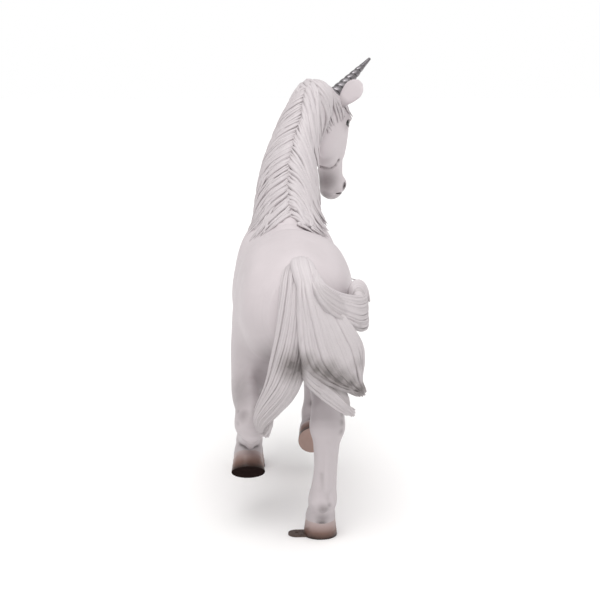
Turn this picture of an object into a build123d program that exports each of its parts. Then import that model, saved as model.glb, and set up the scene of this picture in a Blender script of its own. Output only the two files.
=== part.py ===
"""Trotting unicorn statue of glass-fibre reinforced resin on a steel armature, in millimetres.

The unicorn faces -Y, its left side is +X and the ground is at Z = 0. The body is laid out about its
own middle plane, and at the end everything moves so that the origin is at the middle of the base of
the whole statue.
"""

import math
import os

from build123d import *

os.makedirs("parts", exist_ok=True)

# Body sizes
body_length = 1000
back_height = 1000
barrel_width = 400
limb_width = 100
neck_width = 200
lock_width = 100

# Head sizes
head_width = 160
head_depth = 210
head_turn = 40
eye_diameter = 40
horn_length = 300
horn_base_diameter = 54
horn_tip_diameter = 9
horn_rise = 30
ear_length = 125
ear_width = 62
ear_thickness = 24

# Shell sizes
body_wall = 6
limb_wall = 8
neck_wall = 5
head_wall = 4
mane_thickness = 22
seam_strip_width = 60
seam_strip_thickness = 4
bulkhead_thickness = 12
spigot_length = 24
spigot_gap = 3

# Armature sizes
spine_diameter = 42
post_diameter = 27
rod_diameter = 16
pipe_wall = 3
rod_bend_radius = 30

# Mounting tabs
tab_reach = 112
tab_width = 60
tab_thickness = 8
tab_hole_diameter = 14
hind_tab_turn = 0
fore_tab_turn = 250

# Studs
stud_diameter = 12
stud_length = 90
tail_stud_length = 120
stud_nut_width = 22
stud_nut_height = 10
socket_diameter = 30
socket_length = 40

overrun = 20
ring_points = 8

across = Vector(1, 0, 0)
upward = Vector(0, 0, 1)


def place(shares):
    """A point from its shares of half the barrel width, of the body length and of the back height."""
    side_share, along_share, up_share = shares
    return Vector(
        side_share * barrel_width / 2, along_share * body_length, up_share * back_height
    )


def ring(centre, direction, half_width, half_depth, side=across):
    """A smooth oval wire about a centre, square to a direction."""
    plane = Plane(origin=centre, x_dir=side, z_dir=direction)
    turns = [math.tau * n / ring_points for n in range(ring_points)]
    points = [
        plane.from_local_coords((half_width * math.cos(a), half_depth * math.sin(a), 0))
        for a in turns
    ]
    shares = [n / ring_points for n in range(ring_points + 1)]
    return Wire([Edge.make_spline(points, periodic=True, parameters=shares)])


def stations(table, girth):
    """Centres, directions and half sizes of a run of oval sections."""
    centres = [place(row[0]) for row in table]
    last = len(table) - 1
    found = []
    for n, row in enumerate(table):
        direction = centres[min(n + 1, last)] - centres[max(n - 1, 0)]
        found.append((centres[n], direction, row[1] * girth, row[2] * girth))
    return found


def tube(rows, wall=0, side=across):
    """A solid through oval sections, drawn in all round by a wall."""
    return Solid.make_loft(
        [ring(c, d, w - wall, h - wall, side) for c, d, w, h in rows]
    )


def rod(path_shares, diameter):
    """A bent round rod through points of the body."""
    corners = [place(row) for row in path_shares]
    path = FilletPolyline(*corners, radius=rod_bend_radius)
    start = Plane(origin=path @ 0, z_dir=path % 0)
    return sweep(start * Circle(diameter / 2), path=path).solid()


def largest(shape):
    """The main solid of a cut shape, without the crumbs of the cut."""
    return max(shape.solids(), key=lambda piece: piece.volume)


def write(name, solid):
    """Keep a piece under its name until all are made."""
    pieces[name] = solid


pieces = {}


# Trunk
trunk_shares = (
    (0.515, 0.90, 0.74, 0.25),
    (0.500, 0.945, 0.70, 0.48),
    (0.465, 0.990, 0.64, 0.72),
    (0.400, 1.022, 0.60, 0.89),
    (0.300, 1.042, 0.58, 0.95),
    (0.180, 1.048, 0.585, 0.96),
    (0.050, 1.025, 0.56, 1.00),
    (-0.080, 1.008, 0.535, 1.04),
    (-0.200, 1.020, 0.52, 1.04),
    (-0.300, 1.045, 0.515, 0.98),
    (-0.380, 1.030, 0.53, 0.89),
    (-0.450, 0.975, 0.56, 0.77),
    (-0.505, 0.900, 0.62, 0.56),
    (-0.530, 0.830, 0.69, 0.28),
)


def trunk(wall):
    """The trunk as one solid, drawn in by a wall."""
    middle_share = (trunk_shares[0][0] + trunk_shares[-1][0]) / 2
    reach = (trunk_shares[0][0] - trunk_shares[-1][0]) * body_length / 2
    rings = []
    for along_share, top_share, bottom_share, width_share in trunk_shares:
        offset = (along_share - middle_share) * body_length * (1 - wall / reach)
        centre = Vector(
            0,
            middle_share * body_length + offset,
            (top_share + bottom_share) * back_height / 2,
        )
        half_height = (top_share - bottom_share) * back_height / 2 - wall
        half_width = width_share * barrel_width / 2 - wall
        rings.append(ring(centre, Vector(0, -1, 0), half_width, half_height))
    return Solid.make_loft(rings)


trunk_solid = trunk(0)
trunk_cavity = trunk(body_wall)
trunk_strip_core = trunk(body_wall + seam_strip_thickness)


# Legs: centre shares, half width and half depth as shares of the limb width
hind_left_shares = (
    ((0.475, 0.250, 0.860), 0.85, 1.50),
    ((0.575, 0.240, 0.760), 0.95, 1.65),
    ((0.650, 0.225, 0.660), 0.90, 1.45),
    ((0.725, 0.245, 0.565), 0.75, 1.10),
    ((0.810, 0.320, 0.495), 0.60, 0.78),
    ((0.785, 0.400, 0.450), 0.50, 0.62),
    ((0.775, 0.428, 0.412), 0.50, 0.56),
    ((0.780, 0.370, 0.380), 0.42, 0.48),
    ((0.785, 0.290, 0.345), 0.39, 0.41),
    ((0.790, 0.210, 0.312), 0.42, 0.45),
    ((0.795, 0.165, 0.288), 0.47, 0.50),
    ((0.810, 0.172, 0.262), 0.45, 0.46),
    ((0.825, 0.194, 0.237), 0.51, 0.54),
    ((0.825, 0.235, 0.180), 0.60, 0.62),
)
hind_right_shares = (
    ((-0.475, 0.270, 0.860), 0.85, 1.50),
    ((-0.525, 0.270, 0.760), 0.92, 1.62),
    ((-0.550, 0.275, 0.660), 0.86, 1.42),
    ((-0.560, 0.305, 0.570), 0.72, 1.08),
    ((-0.550, 0.370, 0.500), 0.59, 0.78),
    ((-0.525, 0.425, 0.450), 0.54, 0.64),
    ((-0.515, 0.448, 0.405), 0.53, 0.60),
    ((-0.500, 0.447, 0.340), 0.45, 0.49),
    ((-0.490, 0.443, 0.260), 0.40, 0.43),
    ((-0.465, 0.438, 0.190), 0.43, 0.46),
    ((-0.440, 0.435, 0.145), 0.49, 0.52),
    ((-0.425, 0.422, 0.103), 0.46, 0.47),
    ((-0.415, 0.407, 0.072), 0.52, 0.54),
    ((-0.415, 0.392, 0.000), 0.59, 0.62),
)
fore_left_shares = (
    ((0.500, -0.350, 0.760), 0.72, 1.20),
    ((0.600, -0.345, 0.660), 0.72, 1.05),
    ((0.670, -0.355, 0.560), 0.60, 0.80),
    ((0.700, -0.375, 0.460), 0.49, 0.60),
    ((0.710, -0.395, 0.375), 0.46, 0.51),
    ((0.715, -0.400, 0.330), 0.47, 0.53),
    ((0.720, -0.403, 0.285), 0.41, 0.44),
    ((0.725, -0.410, 0.200), 0.38, 0.40),
    ((0.725, -0.418, 0.145), 0.45, 0.50),
    ((0.725, -0.432, 0.103), 0.43, 0.45),
    ((0.725, -0.443, 0.072), 0.51, 0.54),
    ((0.725, -0.455, 0.000), 0.59, 0.62),
)
fore_right_shares = (
    ((-0.500, -0.350, 0.760), 0.72, 1.20),
    ((-0.575, -0.360, 0.660), 0.70, 1.00),
    ((-0.600, -0.405, 0.570), 0.59, 0.78),
    ((-0.590, -0.460, 0.490), 0.49, 0.58),
    ((-0.580, -0.505, 0.430), 0.46, 0.52),
    ((-0.570, -0.520, 0.392), 0.46, 0.52),
    ((-0.565, -0.500, 0.352), 0.40, 0.44),
    ((-0.555, -0.462, 0.280), 0.38, 0.40),
    ((-0.530, -0.432, 0.228), 0.44, 0.47),
    ((-0.510, -0.400, 0.195), 0.42, 0.43),
    ((-0.495, -0.368, 0.170), 0.50, 0.52),
    ((-0.490, -0.302, 0.146), 0.56, 0.60),
)
hind_upper_count = 6
hind_shank_end = 13
fore_upper_count = 5
fore_shank_end = 11


def leg(name, upper_name, table, upper_count, shank_end):
    """One leg: a hollow upper shell, a solid shank with a spigot, and a hoof."""
    rows = stations(table, limb_width)
    sole = rows[-1]
    raised = sole[0].Z > limb_width
    sole_direction = sole[0] - rows[-2][0] if raised else Vector(0, 0, -1)
    rows[-1] = (sole[0], sole_direction, sole[2], sole[3])
    upper_rows = rows[:upper_count]
    upper = tube(upper_rows) - tube(upper_rows, limb_wall) - trunk_solid
    joint = rows[upper_count - 1]
    shank = tube(rows[upper_count - 1 : shank_end])
    inward = joint[1].normalized() * -spigot_length
    narrow = limb_wall + spigot_gap
    spigot = Solid.make_loft(
        [
            ring(joint[0], joint[1], joint[2] - narrow, joint[3] - narrow),
            ring(joint[0] + inward, joint[1], joint[2] - narrow, joint[3] - narrow),
        ]
    )
    hoof = tube(rows[shank_end - 1 :])
    write(f"{name}_{upper_name}", upper)
    write(f"{name}_shank", shank + spigot)
    write(f"{name}_hoof", hoof)


leg("hind_left", "thigh", hind_left_shares, hind_upper_count, hind_shank_end)
leg("hind_right", "thigh", hind_right_shares, hind_upper_count, hind_shank_end)
leg("fore_left", "forearm", fore_left_shares, fore_upper_count, fore_shank_end)
leg("fore_right", "forearm", fore_right_shares, fore_upper_count, fore_shank_end)


# Neck: centre shares, half width and half depth as shares of the neck width
neck_shares = (
    ((0.000, -0.300, 0.800), 0.60, 1.00),
    ((0.000, -0.360, 0.930), 0.66, 1.06),
    ((0.000, -0.430, 1.040), 0.62, 0.96),
    ((-0.050, -0.500, 1.150), 0.56, 0.84),
    ((-0.170, -0.565, 1.260), 0.49, 0.70),
    ((-0.380, -0.630, 1.370), 0.43, 0.60),
    ((-0.600, -0.690, 1.450), 0.38, 0.50),
    ((-0.760, -0.735, 1.500), 0.30, 0.40),
)
neck_rows = stations(neck_shares, neck_width)
neck_solid = tube(neck_rows)

# Head: the middle of each level, then half width and half depth as shares of the head
head_shares = (
    ((-0.790, -0.748, 1.540), 0.50, 0.36),
    ((-0.825, -0.757, 1.508), 0.80, 0.70),
    ((-0.900, -0.770, 1.450), 0.89, 0.92),
    ((-0.950, -0.782, 1.370), 0.92, 1.00),
    ((-0.940, -0.780, 1.305), 0.86, 0.98),
    ((-0.945, -0.783, 1.250), 0.70, 0.82),
    ((-0.975, -0.790, 1.205), 0.58, 0.63),
    ((-1.010, -0.798, 1.155), 0.54, 0.55),
    ((-1.030, -0.802, 1.110), 0.555, 0.54),
    ((-1.020, -0.800, 1.078), 0.50, 0.46),
    ((-1.010, -0.798, 1.060), 0.28, 0.26),
)
head_side = across.rotate(Axis.Z, -head_turn)
head_front = Vector(0, -1, 0).rotate(Axis.Z, -head_turn)


def head(wall):
    """The head as one solid, drawn in by a wall."""
    rings = []
    for row in head_shares:
        centre = place(row[0])
        half_width = row[1] * head_width / 2 - wall
        half_depth = row[2] * head_depth / 2 - wall
        rings.append(ring(centre, Vector(0, 0, -1), half_width, half_depth, head_side))
    return Solid.make_loft(rings)


head_solid = head(0)
head_cavity = head(head_wall)


def on_head(level, side_share, front_share):
    """A point on a level of the head, from shares of its half width and half depth."""
    row = head_shares[level]
    side_reach = side_share * row[1] * head_width / 2
    front_reach = front_share * row[2] * head_depth / 2
    return place(row[0]) + head_side * side_reach + head_front * front_reach


# Horn, its stud and its socket: it grows from between two levels of the brow
horn_levels = (1, 2)
horn_front_share = 0.80
horn_roots = [on_head(level, 0, horn_front_share) for level in horn_levels]
horn_root = (horn_roots[0] + horn_roots[1]) / 2
horn_direction = head_front.rotate(Axis((0, 0, 0), head_side), -horn_rise)
horn_axis_plane = Plane(origin=horn_root, z_dir=horn_direction)
horn_stud = Solid.make_cylinder(
    stud_diameter / 2, stud_length, horn_axis_plane.offset(-stud_length / 2)
)
horn_socket = largest(
    (Solid.make_cylinder(
        socket_diameter / 2, socket_length + overrun, horn_axis_plane.offset(-socket_length)
    ) & head_cavity)
    - horn_stud
)
horn = largest(
    Solid.make_cone(
        horn_base_diameter / 2, horn_tip_diameter / 2, horn_length, horn_axis_plane
    )
    - head_solid
    - horn_stud
)
write("horn", horn)
write("horn_stud", horn_stud)
write("horn_socket", horn_socket)


# Eyes
eye_level = 3
eye_side_share = 0.78
eye_front_share = 0.34
eyes = {}
for name, side_sign in (("eye_left", 1), ("eye_right", -1)):
    centre = on_head(eye_level, side_sign * eye_side_share, eye_front_share)
    eyes[name] = Solid.make_sphere(eye_diameter / 2, Plane(origin=centre), angle1=-90, angle2=90)
    write(name, eyes[name])


# Ears: share of the length, half width and half thickness as shares
ear_shares = (
    (-0.12, 0.42, 0.80),
    (0.12, 0.74, 1.00),
    (0.42, 1.00, 0.86),
    (0.72, 0.78, 0.60),
    (0.92, 0.38, 0.38),
    (1.00, 0.10, 0.16),
)
ear_level = 2
ear_root_side_share = 0.98
ear_root_front_share = 0.08
ear_out_share = 0.60
ear_front_share = 0.30
ear_up_share = 0.74
for name, side_sign in (("ear_left", 1), ("ear_right", -1)):
    root = on_head(ear_level, side_sign * ear_root_side_share, ear_root_front_share)
    outward = head_side * (side_sign * ear_out_share)
    pointing = (outward + head_front * ear_front_share + upward * ear_up_share).normalized()
    breadth = pointing.cross(head_front)
    rings = []
    for along_share, width_share, thick_share in ear_shares:
        centre = root + pointing * (along_share * ear_length)
        half_width = width_share * ear_width / 2
        half_thickness = thick_share * ear_thickness / 2
        rings.append(ring(centre, pointing, half_width, half_thickness, breadth))
    write(name, largest(Solid.make_loft(rings) - head_solid))


# Mane: a sheet on the crest of the neck, parted along its middle
crest_back_share = 0.55
mane_solid = tube(neck_rows, -mane_thickness) - neck_solid - trunk_solid - head_solid
throat_rings = []
left_rings = []
for centre, direction, half_width, half_depth in neck_rows:
    plane = Plane(origin=centre, x_dir=across, z_dir=direction)
    reach = half_width + 2 * mane_thickness
    lowered = plane.from_local_coords((0, -(1 + crest_back_share) * half_depth, 0))
    throat_rings.append(ring(lowered, direction, 2 * reach, 1.5 * half_depth))
    depth = half_depth + 2 * mane_thickness
    corners = [(0, -depth, 0), (3 * reach, -depth, 0), (3 * reach, depth, 0), (0, depth, 0)]
    left_rings.append(Wire.make_polygon([plane.from_local_coords(c) for c in corners]))
throat_region = Solid.make_loft(throat_rings)
left_region = Solid.make_loft(left_rings, ruled=True)
mane_crest = largest(mane_solid - throat_region)
mane_left = largest(mane_crest & left_region)
mane_right = largest(mane_crest - left_region)

# Forelock: level of the head, share of half width, share of half depth, half width, half depth
forelock_shares = (
    (0, 0.15, 0.30, 0.28, 0.16),
    (1, 0.25, 0.85, 0.34, 0.14),
    (2, 0.35, 1.00, 0.26, 0.10),
    (3, 0.30, 1.02, 0.14, 0.06),
)
forelock_rings = []
for level, side_share, front_share, width_share, thick_share in forelock_shares:
    centre = on_head(level, side_share, front_share)
    half_width = width_share * lock_width
    half_thickness = thick_share * lock_width
    forelock_rings.append(
        ring(centre, Vector(0, 0, -1), half_width, half_thickness, head_side)
    )
forelock = Solid.make_loft(forelock_rings) - head_solid - horn - mane_crest
for ear in ("ear_left", "ear_right"):
    forelock = forelock - pieces[ear]
forelock = largest(forelock)
write("forelock", forelock)


# Tail locks: centre shares, half width and half depth as shares of the lock width
tail_middle_shares = (
    ((-0.010, 0.465, 0.935), 0.34, 0.34),
    ((-0.040, 0.530, 0.965), 0.42, 0.36),
    ((-0.200, 0.590, 0.900), 0.56, 0.36),
    ((-0.380, 0.612, 0.820), 0.78, 0.38),
    ((-0.510, 0.615, 0.740), 0.88, 0.38),
    ((-0.560, 0.612, 0.660), 0.92, 0.36),
    ((-0.650, 0.605, 0.590), 0.80, 0.30),
    ((-0.800, 0.592, 0.530), 0.46, 0.22),
    ((-0.900, 0.582, 0.485), 0.14, 0.10),
)
tail_left_shares = (
    ((0.020, 0.500, 0.975), 0.30, 0.20),
    ((0.060, 0.545, 0.940), 0.42, 0.28),
    ((0.070, 0.575, 0.860), 0.50, 0.32),
    ((0.100, 0.585, 0.760), 0.56, 0.34),
    ((0.170, 0.585, 0.660), 0.60, 0.34),
    ((0.290, 0.580, 0.575), 0.56, 0.32),
    ((0.480, 0.570, 0.510), 0.44, 0.26),
    ((0.620, 0.560, 0.455), 0.26, 0.16),
    ((0.670, 0.555, 0.415), 0.08, 0.06),
)
tail_right_shares = (
    ((-0.080, 0.505, 0.965), 0.22, 0.18),
    ((-0.300, 0.545, 0.945), 0.30, 0.24),
    ((-0.640, 0.560, 0.905), 0.36, 0.30),
    ((-0.900, 0.560, 0.850), 0.42, 0.32),
    ((-0.960, 0.560, 0.800), 0.44, 0.32),
    ((-0.970, 0.550, 0.750), 0.34, 0.26),
    ((-0.975, 0.540, 0.710), 0.14, 0.12),
)


def lock(table):
    """One lock of hair through its oval sections."""
    return tube(stations(table, lock_width))


# The partings between the locks, seen from behind, as shares across and up
left_parting_shares = ((-0.06, 1.10), (-0.06, 0.30), (1.50, 0.30), (1.50, 1.10))
right_parting_shares = (
    (-0.15, 1.10),
    (-0.25, 0.965),
    (-0.50, 0.900),
    (-0.68, 0.830),
    (-0.76, 0.760),
    (-0.80, 0.690),
    (-1.60, 0.660),
    (-1.60, 1.10),
)


def parted(corners):
    """The space on one side of a parting, through the whole body length."""
    points = [place((side_share, 0, up_share)) for side_share, up_share in corners]
    face = Face(Wire.make_polygon(points, close=True))
    return extrude(face, amount=body_length, dir=Vector(0, 1, 0))


left_hair = parted(left_parting_shares)
right_hair = parted(right_parting_shares)
tail_left = largest((lock(tail_left_shares) & left_hair) - trunk_solid)
tail_right = largest((lock(tail_right_shares) & right_hair) - trunk_solid)
tail_middle = largest(lock(tail_middle_shares) - left_hair - right_hair - trunk_solid)

# Tail stud: a threaded bar through the root of the tail with a nut inside the body
tail_stud_slope = 32
tail_stud_end_shares = (0, 0.550, 0.974)
tail_stud_direction = Vector(0, -1, 0).rotate(Axis.X, tail_stud_slope)
tail_stud_plane = Plane(origin=place(tail_stud_end_shares), z_dir=tail_stud_direction)
tail_stud = Solid.make_cylinder(stud_diameter / 2, tail_stud_length, tail_stud_plane)
nut_start = tail_stud_plane.offset(tail_stud_length / 2)
nut_section = nut_start * RegularPolygon(stud_nut_width / 2, 6)
nut_bar = extrude(nut_section, amount=tail_stud_length / 2 - stud_nut_height)
tail_stud_nut = largest((nut_bar & trunk_strip_core) - tail_stud)


# Armature
hind_post_path = (
    (-0.415, 0.398, 0.004),
    (-0.435, 0.434, 0.145),
    (-0.512, 0.446, 0.400),
    (-0.550, 0.350, 0.530),
    (-0.500, 0.275, 0.680),
    (-0.250, 0.250, 0.840),
    (0.000, 0.240, 0.900),
)
fore_post_path = (
    (0.725, -0.450, 0.004),
    (0.725, -0.418, 0.145),
    (0.712, -0.398, 0.350),
    (0.660, -0.360, 0.560),
    (0.400, -0.330, 0.760),
    (0.000, -0.310, 0.900),
)
hind_rod_path = (
    (0.810, 0.195, 0.225),
    (0.797, 0.172, 0.285),
    (0.785, 0.290, 0.345),
    (0.780, 0.402, 0.425),
    (0.800, 0.320, 0.505),
    (0.660, 0.230, 0.660),
    (0.300, 0.210, 0.830),
    (0.000, 0.200, 0.900),
)
fore_rod_path = (
    (-0.500, -0.372, 0.172),
    (-0.530, -0.430, 0.225),
    (-0.572, -0.512, 0.400),
    (-0.595, -0.430, 0.540),
    (-0.450, -0.370, 0.720),
    (0.000, -0.350, 0.900),
)
neck_rod_path = (
    (0.000, -0.280, 0.900),
    (0.000, -0.400, 0.980),
    (-0.050, -0.500, 1.150),
    (-0.380, -0.630, 1.370),
    (-0.700, -0.730, 1.450),
    (-1.050, -0.810, 1.455),
)
spine_path = ((0, 0.400, 0.900), (0, -0.410, 0.900))
bulkhead_shares = (("rear_bulkhead", 0.360), ("front_bulkhead", -0.385))

spine_start = Plane(origin=place(spine_path[0]), z_dir=Vector(0, -1, 0))
spine_length = (spine_path[0][1] - spine_path[1][1]) * body_length
spine_outer = Solid.make_cylinder(spine_diameter / 2, spine_length, spine_start)
spine_bore = Solid.make_cylinder(spine_diameter / 2 - pipe_wall, spine_length, spine_start)
posts = {
    "armature_hind_post": rod(hind_post_path, post_diameter),
    "armature_fore_post": rod(fore_post_path, post_diameter),
    "armature_raised_hind_rod": rod(hind_rod_path, rod_diameter),
    "armature_raised_fore_rod": rod(fore_rod_path, rod_diameter),
    "armature_neck_rod": rod(neck_rod_path, rod_diameter),
}
for name in posts:
    posts[name] = largest(posts[name] - spine_outer)
posts["armature_neck_rod"] = largest(posts["armature_neck_rod"] - horn_socket - horn_stud)


def tab(centre, turn):
    """A flat lug under a hoof, round at both ends, with a bolt hole in the far end."""
    far = tab_reach - tab_width / 2
    outline = Pos(far / 2, 0) * Rectangle(far, tab_width)
    outline += Circle(tab_width / 2)
    outline += Pos(far, 0) * Circle(tab_width / 2)
    outline -= Pos(far, 0) * Circle(tab_hole_diameter / 2)
    plate = extrude(outline, amount=tab_thickness)
    return largest(Pos(centre.X, centre.Y, 0) * Rot(0, 0, turn) * plate)


hind_tab = tab(place(hind_right_shares[-1][0]), hind_tab_turn)
fore_tab = tab(place(fore_left_shares[-1][0]), fore_tab_turn)
posts["armature_hind_post"] = largest(posts["armature_hind_post"] - hind_tab)
posts["armature_fore_post"] = largest(posts["armature_fore_post"] - fore_tab)
write("hind_mount_tab", hind_tab)
write("fore_mount_tab", fore_tab)
write("armature_spine", spine_outer - spine_bore)
for name, post in posts.items():
    write(name, post)


def cut(name, *tools):
    """Cut tools out of a piece that is already made."""
    shape = pieces[name]
    for tool in tools:
        shape = shape - tool
    write(name, largest(shape))


cut("hind_right_shank", posts["armature_hind_post"])
cut("hind_right_hoof", posts["armature_hind_post"], hind_tab)
cut("fore_left_shank", posts["armature_fore_post"])
cut("fore_left_hoof", posts["armature_fore_post"], fore_tab)
cut("hind_left_thigh", posts["armature_raised_hind_rod"])
cut("hind_left_shank", posts["armature_raised_hind_rod"])
cut("hind_left_hoof", posts["armature_raised_hind_rod"])
cut("fore_right_shank", posts["armature_raised_fore_rod"])
cut("fore_right_hoof", posts["armature_raised_fore_rod"])


# Torso halves, seam strip and bulkheads
torso = trunk_solid - trunk_cavity - tail_stud
for post in posts.values():
    torso = torso - post
left_half = Box(
    barrel_width * 2,
    body_length * 2,
    back_height * 3,
    align=(Align.MIN, Align.CENTER, Align.CENTER),
)
write("torso_left_shell", largest(torso & left_half))
write("torso_right_shell", largest(torso - left_half))

strip_slab = Box(seam_strip_width, body_length * 2, back_height * 3)
strip = (trunk_cavity & strip_slab) - trunk_strip_core
strip = strip - tail_stud - posts["armature_neck_rod"]
seam_strip = largest(strip)
write("torso_seam_strip", seam_strip)

for name, along_share in bulkhead_shares:
    slab = Pos(0, along_share * body_length, 0) * Box(
        barrel_width * 2, bulkhead_thickness, back_height * 3
    )
    bulkhead = (trunk_cavity & slab) - seam_strip - spine_outer
    for post in posts.values():
        bulkhead = bulkhead - post
    write(name, largest(bulkhead))


# Neck, head, mane and tail shells
neck_shell = neck_solid - tube(neck_rows, neck_wall) - trunk_solid - head_solid
write("neck_shell", largest(neck_shell))
head_shell = head_solid - head_cavity - horn_stud - posts["armature_neck_rod"]
for eye in eyes.values():
    head_shell = head_shell - eye
write("head_shell", largest(head_shell))
write("mane_left", mane_left)
write("mane_right", mane_right)
cut("mane_left", pieces["ear_left"], pieces["ear_right"])
cut("mane_right", pieces["ear_left"], pieces["ear_right"])
write("tail_middle_lock", largest(tail_middle - tail_stud))
write("tail_left_lock", largest(tail_left - tail_stud))
write("tail_right_lock", largest(tail_right - tail_stud))
write("tail_stud", tail_stud)
write("tail_stud_nut", tail_stud_nut)


# The origin goes to the middle of the base of the whole statue
whole = Compound(list(pieces.values())).bounding_box()
shift = Vector(-whole.center().X, -whole.center().Y, -whole.min.Z)
print("origin shift", shift.X, shift.Y, shift.Z)
for name, solid in pieces.items():
    export_step(Pos(shift.X, shift.Y, shift.Z) * solid, f"parts/{name}.step")
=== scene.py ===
"""Finish of a trotting unicorn statue: skin, hair, hooves, horn, eyes, materials and stage."""

import math

import bmesh
import bpy
import numpy as np
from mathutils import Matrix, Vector


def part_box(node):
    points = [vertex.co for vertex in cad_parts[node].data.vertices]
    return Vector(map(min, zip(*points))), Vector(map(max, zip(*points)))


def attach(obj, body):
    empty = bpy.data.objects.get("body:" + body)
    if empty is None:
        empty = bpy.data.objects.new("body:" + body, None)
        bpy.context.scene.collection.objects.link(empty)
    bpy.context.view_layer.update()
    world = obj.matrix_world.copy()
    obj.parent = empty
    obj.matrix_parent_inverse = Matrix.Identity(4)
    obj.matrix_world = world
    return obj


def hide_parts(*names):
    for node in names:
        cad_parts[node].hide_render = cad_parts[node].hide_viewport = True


bl_info = {
    "name": "Unicorn statue finish",
    "version": (1, 0, 0),
    "blender": (4, 5, 0),
    "location": "View3D > Sidebar > Unicorn",
    "description": "Builds the painted skin, hair and fittings of a unicorn statue on its frame",
    "category": "Object",
}

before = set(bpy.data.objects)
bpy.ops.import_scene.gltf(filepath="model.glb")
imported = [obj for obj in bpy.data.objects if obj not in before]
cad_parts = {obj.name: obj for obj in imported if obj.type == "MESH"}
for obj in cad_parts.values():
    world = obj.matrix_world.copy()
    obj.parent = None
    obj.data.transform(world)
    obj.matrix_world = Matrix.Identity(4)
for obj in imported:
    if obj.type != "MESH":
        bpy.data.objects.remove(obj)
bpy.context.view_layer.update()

# The statue is laid out about its own middle plane, as its frame is, in metres
barrel_half_width = 0.2
body_length = 1.0
back_height = 1.0
limb_width = 0.1
neck_width = 0.2
lock_width = 0.1
head_width = 0.16
head_depth = 0.21
head_turn = math.radians(-40)
hind_tab_back = 0.113
hind_tab_level = 0.392
tab_low, tab_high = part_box("hind_mount_tab")
origin_shift = np.array(
    [tab_low[0] + hind_tab_back, (tab_low[1] + tab_high[1]) / 2 - hind_tab_level, 0.0]
)

across = np.array([1.0, 0.0, 0.0])
head_side = np.array([math.cos(head_turn), math.sin(head_turn), 0.0])
head_front = np.array([math.sin(head_turn), -math.cos(head_turn), 0.0])
upward = np.array([0.0, 0.0, 1.0])
head_turned = np.array([head_side, head_front, upward])
cell_corners = np.array([[(corner >> n) & 1 for n in range(3)] for corner in range(8)])
# How much wider than its blend the rounded part of a join is
blend_widening = 1.5


def unit(way):
    """A direction of length one."""
    return way / np.linalg.norm(way)


def square_to(way, side=across, least=0.1):
    """The direction square to a way and nearest to a side, or to up where those run together."""
    found = side - way * side.dot(way)
    if np.linalg.norm(found) < least:
        found = upward - way * upward.dot(way)
    return unit(found)


def place(shares):
    """A point from its shares of half the barrel, the body length and the back height."""
    side_share, along_share, up_share = shares
    return np.array(
        [side_share * barrel_half_width, along_share * body_length, up_share * back_height]
    )


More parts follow.
